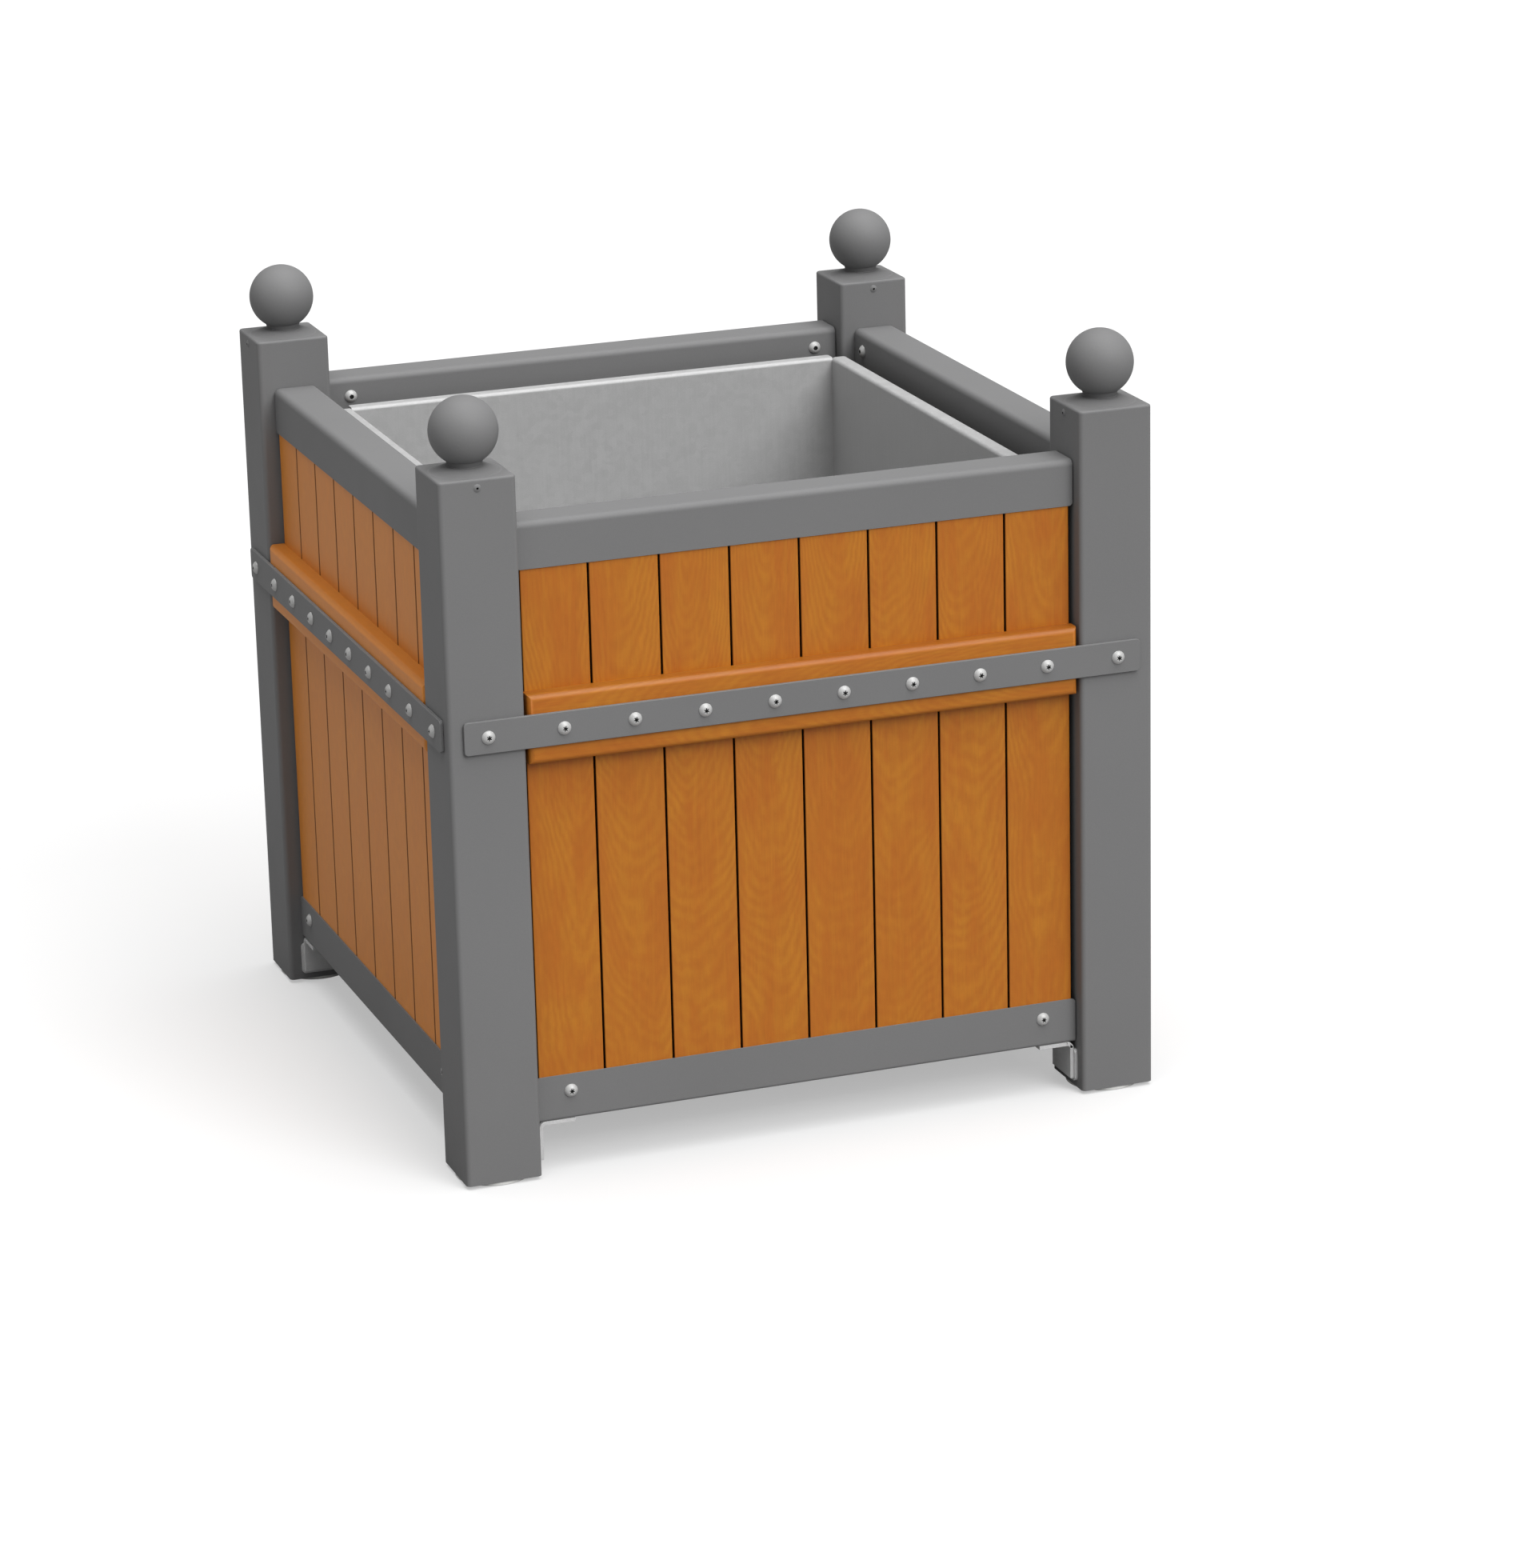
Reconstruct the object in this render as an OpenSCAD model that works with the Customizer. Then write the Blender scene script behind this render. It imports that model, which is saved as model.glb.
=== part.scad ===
// Square planter on four ball-topped posts, with folded rails, timber boards and a lift-out liner.
// Lengths are in millimetres and up is +Z. The origin is the middle of the base on the floor.
// The front faces -Y. Each side is drawn as the front and turned into place.

/* [Overall] */
// Width and depth over the faces of the posts
outer_w = 946; // [900:2:1000]
// Height of the post tops above the floor
post_top_z = 922; // [900:1:960]
// Radial play of every bolt, stud and spindle in its hole
hole_fit = 0.3; // [0.2:0.05:0.4]
// Play between pieces that slide into one another
slip_fit = 0.3; // [0.2:0.05:0.5]

/* [Posts] */
// Width of the square tube
post_w = 100; // [96:1:104]
// Wall of the square tube
post_wall = 3; // [2.5:0.5:4]
// Outside corner radius of the tube
post_corner_r = 6; // [5:0.5:8]

/* [Caps and rivets] */
// Thickness of the cap plate, which is also the radius of its edge
cap_t = 3; // [2:0.5:4]
// Depth of the skirt that fits in the tube, below the cap plate
skirt_drop = 22; // [18:1:30]
// Wall of the skirt
skirt_wall = 3; // [2:0.5:4]
// Distance from the cap's top down to the rivets
rivet_drop = 11.5; // [9:0.5:14]
// Head of the blind rivets
rivet_head_d = 10.5; // [9:0.5:12]
// Height of the rivet head
rivet_head_h = 1.8; // [1.4:0.1:2.2]
// Body of the blind rivets
rivet_d = 4.8; // [4:0.2:5]
// Bore that the rivet's drawn pin leaves
rivet_bore_d = 2.4; // [2:0.1:2.8]
// Upset tail of the rivet behind the skirt
rivet_tail_d = 7.5; // [6.5:0.5:9]
// Length of the upset tail
rivet_tail_h = 4; // [3:0.5:6]

/* [Ball finials] */
// Diameter of the ball
ball_d = 87; // [80:1:94]
// Height of the ball's centre above the cap
ball_lift = 50; // [47:0.5:54]
// Neck under the ball
neck_top_d = 46; // [40:1:52]
// Neck where it stands on the cap
neck_foot_d = 44; // [38:1:50]
// Stud that holds the finial
stud_d = 12; // [10:1:14]
// Length of the stud below the cap's top face
stud_reach = 22; // [20:1:30]
// Width across the flats of the finial nut
stud_nut_af = 19; // [17:1:22]
// Height of the finial nut
stud_nut_h = 10; // [8:0.5:12]

/* [Rails] */
// Width of both rails, front to back
rail_w = 60; // [56:1:66]
// Height of both rails
rail_h = 60; // [56:1:64]
// Sheet of both rails
rail_sheet = 2; // [1.5:0.25:2.5]
// Distance of the rails behind the faces of the posts
rail_setback = 20; // [18:0.5:22]
// Gap between the end of a rail and the post
rail_end_gap = 1.5; // [1:0.25:2.5]
// Height of the top rail's open edge above the floor
top_rail_z = 796; // [780:1:810]
// Height of the bottom rail's underside above the floor
bottom_rail_z = 69; // [66:1:80]
// Outside bend radius of the top rail
top_bend_r = 8; // [6:0.5:9]
// Outside bend radius of the bottom rail
bottom_bend_r = 4; // [3:0.5:5]
// Rounding of the free corners at the rail ends
rail_corner_r = 5; // [3:0.5:8]

/* [Boards] */
// Number of upright boards on each side
board_count = 8; // [6:1:8]
// Gap between the outermost board and the post
board_end_gap = 6.55; // [5:0.05:9]
// Thickness of a board
board_t = 22; // [20:0.5:23]
// Open joint between boards
board_joint = 2.7; // [2.2:0.1:3]
// Width that is cut off the outer edge of the two end boards
board_trim = 3; // [2:0.5:6]
// Distance from the top rail's top down to the ends of the boards
board_drop = 12; // [10:0.5:16]
// Chamfer at the foot of a board that clears the rail's bend
board_nose = 2.5; // [2:0.25:5]

/* [Battens] */
// Height of the batten across the boards
batten_h = 90; // [80:1:100]
// Gap between the end of a batten and the post
batten_end_gap = 4; // [3:0.5:8]
// Rounding of the batten's front edges
batten_r = 7.5; // [3:0.5:10]

/* [Bands and their bolts] */
// Height of the band's middle above the floor
band_z = 595; // [560:1:630]
// Height of the flat steel band
band_h = 42.5; // [40:0.5:50]
// Thickness of the band
band_t = 5; // [4:0.5:6]
// Distance of the band's end from the corner of the planter
band_inset = 19; // [16:0.5:26]
// Rounding of the band's corners
band_corner_r = 5; // [2:0.5:7]
// Shank of the button head bolts
bolt_d = 10; // [8:0.5:10]
// Head of the button head bolts
head_d = 17.5; // [16:0.5:18]
// Height of the button head
head_h = 5; // [4.5:0.25:6]
// Flat on top of the button head
head_flat_d = 8; // [7:0.5:9]
// Width across the flats of the nuts
nut_af = 17; // [16:0.5:18]
// Height of the nuts
nut_h = 8; // [7:0.5:9]
// Shank that stands out past its nut
bolt_past_nut = 3; // [2:0.5:5]

/* [Rail bolts and cleats] */
// Distance from the post to the bottom rail bolts
bottom_bolt_in = 48; // [44:1:52]
// Height of the bottom rail bolts above the rail's underside
bottom_bolt_up = 38; // [34:1:42]
// Distance from the post to the top rail bolts
top_bolt_in = 33; // [28:1:40]
// Height of the top rail bolts above the rail's open edge
top_bolt_up = 34; // [31:1:34]
// Sheet of the cleats inside the top rails
cleat_t = 4; // [3:0.5:5]
// Height of a cleat
cleat_h = 34; // [28:1:34]
// Leg of a cleat on the post
cleat_post_leg = 28; // [22:1:30]
// Leg of a cleat along the rail
cleat_rail_leg = 56; // [52:1:66]
// Outside bend radius of a cleat
cleat_bend_r = 6; // [5.5:0.5:8]
// Length of the top rail bolts past the cleat
top_bolt_past = 8; // [5:1:10]

/* [Corner brackets] */
// Thickness of the galvanised angle under each rail end
bracket_t = 5; // [4:0.5:6]
// Length of its level leg
bracket_leg = 48.7; // [46:0.1:56]
// Length of its upright leg
bracket_drop = 51; // [46:1:54]
// Outside bend radius of the angle
bracket_bend_r = 9; // [7:0.5:11]
// Thickness of the plate between the angle and the post
backing_t = 4; // [3:0.5:5]
// Width of that plate
backing_w = 66; // [62:1:72]
// Height of that plate
backing_h = 44; // [38:1:46]
// Height of that plate above the floor
backing_z = 14; // [12:1:18]
// Rounding of its corners
backing_r = 5; // [3:0.5:8]
// Distance from the post to the bracket bolts
bracket_bolt_in = 34; // [32:1:38]
// Distance of the bracket bolts behind the rail's face
bracket_bolt_back = 37; // [36:1:42]
// Shank of the bracket bolts
bracket_bolt_d = 8; // [6:0.5:8]
// Width across the flats of the bracket bolts and nuts
bracket_bolt_af = 13; // [12:0.5:13]
// Height of the bracket bolt's head
bracket_head_h = 5.3; // [4.5:0.1:5.5]
// Height of the bracket nut
bracket_nut_h = 6.5; // [5.5:0.5:7]

/* [Feet] */
// Diameter of a foot pad
pad_d = 98; // [90:1:98]
// Thickness of a foot pad
pad_t = 4.7; // [4.5:0.1:6]
// Gap between a screwed-in pad and the post
pad_gap = 0.3; // [0.2:0.05:0.5]
// Depth of the socket in the pad
socket_depth = 3; // [2.5:0.1:3.5]
// Levelling spindle
spindle_d = 12; // [10:1:16]
// Length of the spindle
spindle_len = 70; // [60:1:80]
// Chamfer on the spindle's top end
spindle_nose = 1.5; // [1:0.25:2]
// Thickness of the threaded plate in the foot of a post
foot_plate_t = 8; // [6:0.5:10]

/* [Liner] */
// Gap between the liner's rim and the rails
rim_gap = 24; // [23:0.5:60]
// Sheet of the liner
liner_sheet = 2; // [1.5:0.25:2.5]
// Height of the rim above the floor
liner_top_z = 823.5; // [800:0.5:840]
// Width of the turned-out rim, from the liner's inside face
rim_w = 19; // [12:0.5:32]
// Outside bend radius of the rim
rim_bend_r = 5; // [4:0.5:6]
// Length of the rim past the liner's inside corner
rim_past = 1; // [0.5:0.25:1.25]
// Rounding of the rim's corners
rim_corner_r = 3; // [2:0.5:5]
// Drain holes in the floor of the liner
drain_d = 20; // [12:1:30]
// Distance between drain holes
drain_pitch = 150; // [120:5:180]

/* [Bearers] */
// Width of a bearer
bearer_w = 50; // [40:1:60]
// Height of a bearer
bearer_h = 30; // [24:1:40]
// Sheet of a bearer
bearer_t = 3; // [2.5:0.5:4]
// Outside bend radius of a bearer
bearer_bend_r = 4; // [3.5:0.5:6]
// Distance of each bearer from the middle of the planter
bearer_y = 225; // [205:5:245]
// Length of a bearer past the rail's inner wall
bearer_past = 22; // [14:1:26]
// Depth of the notches that drop over the rail's inner wall
notch_depth = 6; // [4:0.5:8]

/* [Hidden] */
$fn = 64;

// Amount by which a cut runs past the face it opens
over = 1;
half = outer_w / 2;
post_mid = half - post_w / 2;
post_in = half - post_w;
post_foot_z = pad_t + pad_gap;
rim_z = post_top_z - cap_t;
skirt_w = post_w - 2 * post_wall - 2 * slip_fit;
rail_len = 2 * (post_in - rail_end_gap);
rail_back = rail_setback + rail_w;
board_face = rail_setback + rail_sheet;
board_back = board_face + board_t;
board_row = 2 * (post_in - board_end_gap + board_trim);
board_w = (board_row - (board_count - 1) * board_joint) / board_count;
board_pitch = board_w + board_joint;
board_foot_z = bottom_rail_z + rail_sheet;
board_top_z = top_rail_z + rail_h - board_drop;
head_sink = (head_d * head_d / 4 - head_flat_d * head_flat_d / 4 - head_h * head_h) / (2 * head_h);
head_ball_r = sqrt(head_d * head_d / 4 + head_sink * head_sink);
rivet_ball_r = (rivet_head_d * rivet_head_d / 4 + rivet_head_h * rivet_head_h) / (2 * rivet_head_h);
bolt_hole_d = bolt_d + 2 * hole_fit;
bottom_bolt_z = bottom_rail_z + bottom_bolt_up;
top_bolt_z = top_rail_z + top_bolt_up;
bracket_hole_d = bracket_bolt_d + 2 * hole_fit;
bracket_bolt_y = rail_setback + bracket_bolt_back;
bearer_foot_z = bottom_rail_z + rail_h - notch_depth;
liner_foot_z = bearer_foot_z + bearer_h;
liner_half = half - rail_back - rim_gap - rim_w;
liner_in = 2 * liner_half;
hex_corner = 1 / cos(30);

paint = [0.46, 0.46, 0.46];
timber = [0.68, 0.41, 0.16];
zinc = [0.72, 0.72, 0.71];
pale_zinc = [0.80, 0.80, 0.79];
pad_grey = [0.70, 0.70, 0.68];

// Rectangle about the origin with round corners
module rounded(x, y, r) {
  square([x - 2 * r, y], center = true);
  square([x, y - 2 * r], center = true);
  for (i = [-1, 1], j = [-1, 1])
    translate([i * (x / 2 - r), j * (y / 2 - r)])
      circle(r);
}

// Rectangle on the x axis with its two far corners round
module tongue(x, y, r) {
  translate([-x / 2, 0])
    square([x, y - r]);
  translate([r - x / 2, 0])
    square([x - 2 * r, y]);
  for (i = [-1, 1])
    translate([i * (x / 2 - r), y - r])
      circle(r);
}

// Rectangle on the x axis with its two near corners round
module round_foot(x, y, r) {
  translate([-x / 2, r])
    square([x, y - r]);
  translate([r - x / 2, 0])
    square([x - 2 * r, 2 * r]);
  for (i = [-1, 1])
    translate([i * (x / 2 - r), r])
      circle(r);
}

// Section of a sheet folded into a channel that is open upwards
module channel(w, h, t, r) {
  difference() {
    translate([w / 2, 0])
      round_foot(w, h, r);
    translate([w / 2, t])
      round_foot(w - 2 * t, h, r - t);
  }
}

// Section of a sheet folded into an angle, with its outside corner at the origin
module angle(x, y, t, r) {
  translate([r, 0])
    square([x - r, t]);
  translate([0, r])
    square([t, y - r]);
  translate([r, r])
    intersection() {
      difference() {
        circle(r);
        circle(r - t);
      }
      translate([-r, -r])
        square(r);
    }
}

// Quarter disc
module quarter(r) {
  intersection() {
    circle(r);
    square(r);
  }
}

// A section in depth and height, run along the side about its middle
module run(length) {
  rotate([90, 0, 90])
    linear_extrude(length, center = true)
      children();
}

// An outline in width and height, filled between two distances behind the front
module sheet(near, far) {
  translate([0, far - half, 0])
    rotate([90, 0, 0])
      linear_extrude(far - near)
        children();
}

// Round bar square to the front, between two distances behind it
module rod(x, z, near, far, d) {
  translate([x, near - half, z])
    rotate([-90, 0, 0])
      cylinder(h = far - near, d = d);
}

// Hexagon nut on such a bar
module nut(x, z, near) {
  difference() {
    translate([x, near - half, z])
      rotate([-90, 0, 0])
        cylinder(h = nut_h, d = nut_af * hex_corner, $fn = 6);
    rod(x, z, near - over, near + nut_h + over, bolt_hole_d);
  }
}

// Button head bolt that goes in from the front
module bolt(x, z, near, far) {
  translate([x, near - half, z])
    rotate([90, 0, 0])
      intersection() {
        translate([0, 0, -head_sink])
          sphere(head_ball_r);
        cylinder(h = head_h, r = 2 * head_ball_r);
      }
  rod(x, z, near, far, bolt_d);
}

// The two ends of a side
module both_ends() {
  for (m = [0, 1])
    mirror([m, 0, 0])
      children();
}

// The two ends of all four sides
module all_ends() {
  for (turn = [0 : 90 : 270])
    rotate([0, 0, turn])
      both_ends()
        children();
}

// The four corners, drawn at the front left
module all_corners() {
  for (turn = [0 : 90 : 270])
    rotate([0, 0, turn])
      children();
}

function board_x(i) = (i - (board_count - 1) / 2) * board_pitch;
function board_cut(i) = i == 0 || i == board_count - 1 ? board_trim : 0;
function band_bolt_x(i) = i < 0 ? -post_mid : i == board_count ? post_mid : board_x(i);
function band_bolt_end(i) = i < 0 || i == board_count ? post_wall : board_back;

// Post, drawn at the front left
module post(turn) {
  color(paint)
    rotate([0, 0, turn])
      translate([-post_mid, -post_mid, 0])
        difference() {
          translate([0, 0, post_foot_z])
            linear_extrude(rim_z - post_foot_z)
              difference() {
                rounded(post_w, post_w, post_corner_r);
                rounded(post_w - 2 * post_wall, post_w - 2 * post_wall, post_corner_r - post_wall);
              }
          translate([0, -post_w / 2 - over, band_z])
            rotate([-90, 0, 0])
              cylinder(h = post_wall + 2 * over, d = bolt_hole_d);
          translate([-post_w / 2 - over, 0, band_z])
            rotate([0, 90, 0])
              cylinder(h = post_wall + 2 * over, d = bolt_hole_d);
          translate([0, post_w / 2 + over, post_top_z - rivet_drop])
            rotate([90, 0, 0])
              cylinder(h = post_w + 2 * over, d = rivet_d + 2 * hole_fit);
        }
}

// Corner of the cap plate, with its top edge rounded over
module cap_corner() {
  rotate_extrude() {
    square([post_corner_r - cap_t, cap_t]);
    translate([post_corner_r - cap_t, 0])
      quarter(cap_t);
  }
}

// Pressed cap: a plate with rounded-over edges and a skirt that fits in the post
module cap(turn) {
  core = post_w - 2 * post_corner_r;
  color(paint)
    rotate([0, 0, turn])
      translate([-post_mid, -post_mid, rim_z])
        difference() {
          union() {
            for (i = [-1, 1], j = [-1, 1])
              translate([i * core / 2, j * core / 2, 0])
                cap_corner();
            translate([-core / 2 - post_corner_r + cap_t, -core / 2, 0])
              cube([core + 2 * (post_corner_r - cap_t), core, cap_t]);
            translate([-core / 2, -core / 2 - post_corner_r + cap_t, 0])
              cube([core, core + 2 * (post_corner_r - cap_t), cap_t]);
            for (side = [0 : 90 : 270])
              rotate([0, 0, side])
                translate([-core / 2, post_w / 2 - cap_t, 0])
                  rotate([90, 0, 90])
                    linear_extrude(core)
                      quarter(cap_t);
            translate([0, 0, -skirt_drop])
              linear_extrude(skirt_drop + cap_t / 2)
                rounded(skirt_w, skirt_w, post_corner_r - post_wall);
          }
          translate([0, 0, -skirt_drop - over])
            linear_extrude(skirt_drop + over)
              square(skirt_w - 2 * skirt_wall, center = true);
          translate([0, 0, -over])
            cylinder(h = cap_t + 2 * over, d = stud_d + 2 * hole_fit);
          translate([0, post_w / 2, cap_t - rivet_drop])
            rotate([90, 0, 0])
              cylinder(h = post_w, d = rivet_d + 2 * hole_fit);
        }
}

// Ball with its neck and the stud that goes down through the cap
module finial(turn) {
  neck_h = ball_lift - sqrt(ball_d * ball_d - neck_top_d * neck_top_d) / 2 + over;
  color(paint)
    rotate([0, 0, turn])
      translate([-post_mid, -post_mid, post_top_z]) {
        translate([0, 0, ball_lift])
          sphere(d = ball_d);
        cylinder(h = neck_h, d1 = neck_foot_d, d2 = neck_top_d);
        translate([0, 0, -stud_reach])
          cylinder(h = stud_reach + over, d = stud_d);
      }
}

module finial_nuts() {
  color(pale_zinc)
    all_corners()
      translate([-post_mid, -post_mid, rim_z - stud_nut_h])
        difference() {
          cylinder(h = stud_nut_h, d = stud_nut_af * hex_corner, $fn = 6);
          translate([0, 0, -over])
            cylinder(h = stud_nut_h + 2 * over, d = stud_d + 2 * hole_fit);
        }
}

// Blind rivet with its head on the front face of a front left post
module rivet() {
  grip = post_wall + slip_fit + skirt_wall;
  difference() {
    translate([-post_mid, -half, post_top_z - rivet_drop])
      rotate([90, 0, 0]) {
        intersection() {
          translate([0, 0, rivet_head_h - rivet_ball_r])
            sphere(rivet_ball_r);
          cylinder(h = rivet_head_h + over, r = 2 * rivet_ball_r);
        }
        translate([0, 0, -grip])
          cylinder(h = grip, d = rivet_d);
        translate([0, 0, -grip - rivet_tail_h])
          cylinder(h = rivet_tail_h, d = rivet_tail_d);
      }
    rod(-post_mid, post_top_z - rivet_drop, -rivet_head_h - over, post_wall, rivet_bore_d);
  }
}

module cap_rivets() {
  color(paint)
    all_corners()
      for (m = [0, 1])
        translate([0, -2 * m * post_mid, 0])
          mirror([0, m, 0])
            rivet();
}

// Threaded plate welded in the foot of each post
module foot_plates() {
  color(zinc)
    all_corners()
      translate([-post_mid, -post_mid, post_foot_z])
        difference() {
          linear_extrude(foot_plate_t)
            rounded(skirt_w, skirt_w, post_corner_r - post_wall);
          translate([0, 0, -over])
            cylinder(h = foot_plate_t + 2 * over, d = spindle_d + 2 * hole_fit);
        }
}

// Pad that stands on the floor, with a socket for the spindle
module foot_pad(turn) {
  color(pad_grey)
    rotate([0, 0, turn])
      translate([-post_mid, -post_mid, 0])
        difference() {
          cylinder(h = pad_t, d = pad_d);
          translate([0, 0, pad_t - socket_depth])
            cylinder(h = socket_depth + over, d = spindle_d + 2 * hole_fit);
        }
}

// Levelling spindle that screws through the foot plate
module foot_spindle(turn) {
  color(pale_zinc)
    rotate([0, 0, turn])
      translate([-post_mid, -post_mid, pad_t - socket_depth]) {
        cylinder(h = spindle_len - spindle_nose, d = spindle_d);
        translate([0, 0, spindle_len - spindle_nose])
          cylinder(h = spindle_nose, d1 = spindle_d, d2 = spindle_d - 2 * spindle_nose);
      }
}

// Top rail: a channel that drops over the tops of the boards
module top_rail(turn) {
  color(paint)
    rotate([0, 0, turn])
      difference() {
        intersection() {
          run(rail_len)
            translate([rail_setback - half, top_rail_z + rail_h])
              mirror([0, 1])
                channel(rail_w, rail_h, rail_sheet, top_bend_r);
          sheet(rail_setback - over, rail_back + over)
            translate([0, top_rail_z])
              round_foot(rail_len, rail_h + over, rail_corner_r);
        }
        both_ends()
          rod(top_bolt_in - post_in, top_bolt_z, rail_back - rail_sheet - over, rail_back + over,
              bolt_hole_d);
      }
}

// Bottom rail: a channel that holds the feet of the boards
module bottom_rail(turn) {
  color(paint)
    rotate([0, 0, turn])
      difference() {
        intersection() {
          run(rail_len)
            translate([rail_setback - half, bottom_rail_z])
              channel(rail_w, rail_h, rail_sheet, bottom_bend_r);
          sheet(rail_setback - over, rail_back + over)
            translate([0, bottom_rail_z - over])
              tongue(rail_len, rail_h + over, rail_corner_r);
        }
        both_ends() {
          rod(bottom_bolt_in - post_in, bottom_bolt_z, rail_setback - over, board_face + over,
              bolt_hole_d);
          translate([bracket_bolt_in - post_in, bracket_bolt_y - half, bottom_rail_z - over])
            cylinder(h = rail_sheet + 2 * over, d = bracket_hole_d);
        }
      }
}

// Upright boards, from the left end of the side to the right
module boards(turn) {
  color(timber)
    rotate([0, 0, turn])
      for (i = [0 : board_count - 1])
        difference() {
          translate([board_x(i) + (i == 0 ? board_cut(i) / 2 : -board_cut(i) / 2), 0, 0])
            run(board_w - board_cut(i))
              translate([board_face - half, 0])
                polygon([
                  [board_nose, board_foot_z],
                  [board_t, board_foot_z],
                  [board_t, board_top_z],
                  [0, board_top_z],
                  [0, board_foot_z + board_nose]
                ]);
          rod(board_x(i), band_z, board_face - over, board_back + over, bolt_hole_d);
          if (board_cut(i) > 0)
            rod((i == 0 ? 1 : -1) * (bottom_bolt_in - post_in), bottom_bolt_z, board_face - over,
                board_back + over, bolt_hole_d);
        }
}

// Batten across the boards, with its front edges rounded over
module batten(turn) {
  batten_w = 2 * (post_in - batten_end_gap);
  color(timber)
    rotate([0, 0, turn])
      difference() {
        intersection() {
          run(batten_w)
            translate([board_face - half, band_z])
              rotate([0, 0, 90])
                tongue(batten_h, board_face, batten_r);
          translate([0, board_face - half, band_z - batten_h / 2 - over])
            linear_extrude(batten_h + 2 * over)
              mirror([0, 1])
                tongue(batten_w, board_face, batten_r);
        }
        for (i = [0 : board_count - 1])
          rod(board_x(i), band_z, -over, board_face + over, bolt_hole_d);
      }
}

// Flat band from post to post
module band(turn) {
  color(paint)
    rotate([0, 0, turn])
      difference() {
        sheet(-band_t, 0)
          translate([0, band_z])
            rounded(outer_w - 2 * band_inset, band_h, band_corner_r);
        for (i = [-1 : board_count])
          rod(band_bolt_x(i), band_z, -band_t - over, over, bolt_hole_d);
      }
}

module band_bolts(turn) {
  color(pale_zinc)
    rotate([0, 0, turn])
      for (i = [-1 : board_count])
        bolt(band_bolt_x(i), band_z, -band_t, band_bolt_end(i) + nut_h + bolt_past_nut);
}

module band_nuts() {
  color(pale_zinc)
    for (turn = [0 : 90 : 270])
      rotate([0, 0, turn])
        for (i = [-1 : board_count])
          nut(band_bolt_x(i), band_z, band_bolt_end(i));
}

module bottom_rail_bolts() {
  color(pale_zinc)
    all_ends()
      bolt(bottom_bolt_in - post_in, bottom_bolt_z, rail_setback, board_back + nut_h + bolt_past_nut);
}

module bottom_rail_nuts() {
  color(pale_zinc)
    all_ends()
      nut(bottom_bolt_in - post_in, bottom_bolt_z, board_back);
}

// The top rail bolts go outwards, so each is a front bolt turned about the rail's inner face
module top_rail_bolts() {
  color(zinc)
    all_ends()
      translate([0, 2 * (rail_back - half), 0])
        mirror([0, 1, 0])
          bolt(top_bolt_in - post_in, top_bolt_z, rail_back,
               rail_back + rail_sheet + cleat_t + top_bolt_past);
}

// Angle inside each end of the top rails, welded to the post
module rail_cleats() {
  cleat_back = rail_back - rail_sheet;
  color(zinc)
    all_ends()
      difference() {
        translate([-post_in, cleat_back - half, top_bolt_z - cleat_h / 2])
          linear_extrude(cleat_h)
            mirror([0, 1])
              angle(cleat_rail_leg, cleat_post_leg, cleat_t, cleat_bend_r);
        rod(top_bolt_in - post_in, top_bolt_z, cleat_back - cleat_t - over, cleat_back + over,
            bolt_hole_d);
      }
}

// Galvanised angle under each end of the bottom rails
module corner_brackets() {
  color(zinc)
    all_ends()
      difference() {
        sheet(rail_setback, rail_back)
          translate([backing_t - post_in, bottom_rail_z])
            mirror([0, 1])
              angle(bracket_leg, bracket_drop, bracket_t, bracket_bend_r);
        translate([bracket_bolt_in - post_in, bracket_bolt_y - half, bottom_rail_z - bracket_t - over])
          cylinder(h = bracket_t + 2 * over, d = bracket_hole_d);
      }
}

// Plate between each angle and its post
module backing_plates() {
  color(zinc)
    all_ends()
      translate([backing_t / 2 - post_in, rail_setback + rail_w / 2 - half, backing_z + backing_h / 2])
        run(backing_t)
          rounded(backing_w, backing_h, backing_r);
}

module bracket_bolts() {
  foot = bottom_rail_z - bracket_t;
  grip = bracket_t + rail_sheet + bracket_nut_h + bolt_past_nut;
  color(pale_zinc)
    all_ends()
      translate([bracket_bolt_in - post_in, bracket_bolt_y - half, foot]) {
        translate([0, 0, -bracket_head_h])
          cylinder(h = bracket_head_h, d = bracket_bolt_af * hex_corner, $fn = 6);
        cylinder(h = grip, d = bracket_bolt_d);
      }
}

module bracket_nuts() {
  color(pale_zinc)
    all_ends()
      translate([bracket_bolt_in - post_in, bracket_bolt_y - half, bottom_rail_z + rail_sheet])
        difference() {
          cylinder(h = bracket_nut_h, d = bracket_bolt_af * hex_corner, $fn = 6);
          translate([0, 0, -over])
            cylinder(h = bracket_nut_h + 2 * over, d = bracket_hole_d);
        }
}

// Turned-out rim along one side of the liner, notched at its ends
module liner_rim() {
  rim_len = liner_in + 2 * rim_past;
  intersection() {
    run(rim_len)
      translate([-liner_half, liner_top_z])
        mirror([1, 0])
          mirror([0, 1])
            angle(rim_w, 2 * rim_bend_r, liner_sheet, rim_bend_r);
    translate([0, 0, liner_top_z - 3 * rim_bend_r])
      linear_extrude(4 * rim_bend_r)
        mirror([0, 1])
          tongue(rim_len, liner_half + rim_w, rim_corner_r);
  }
}

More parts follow.
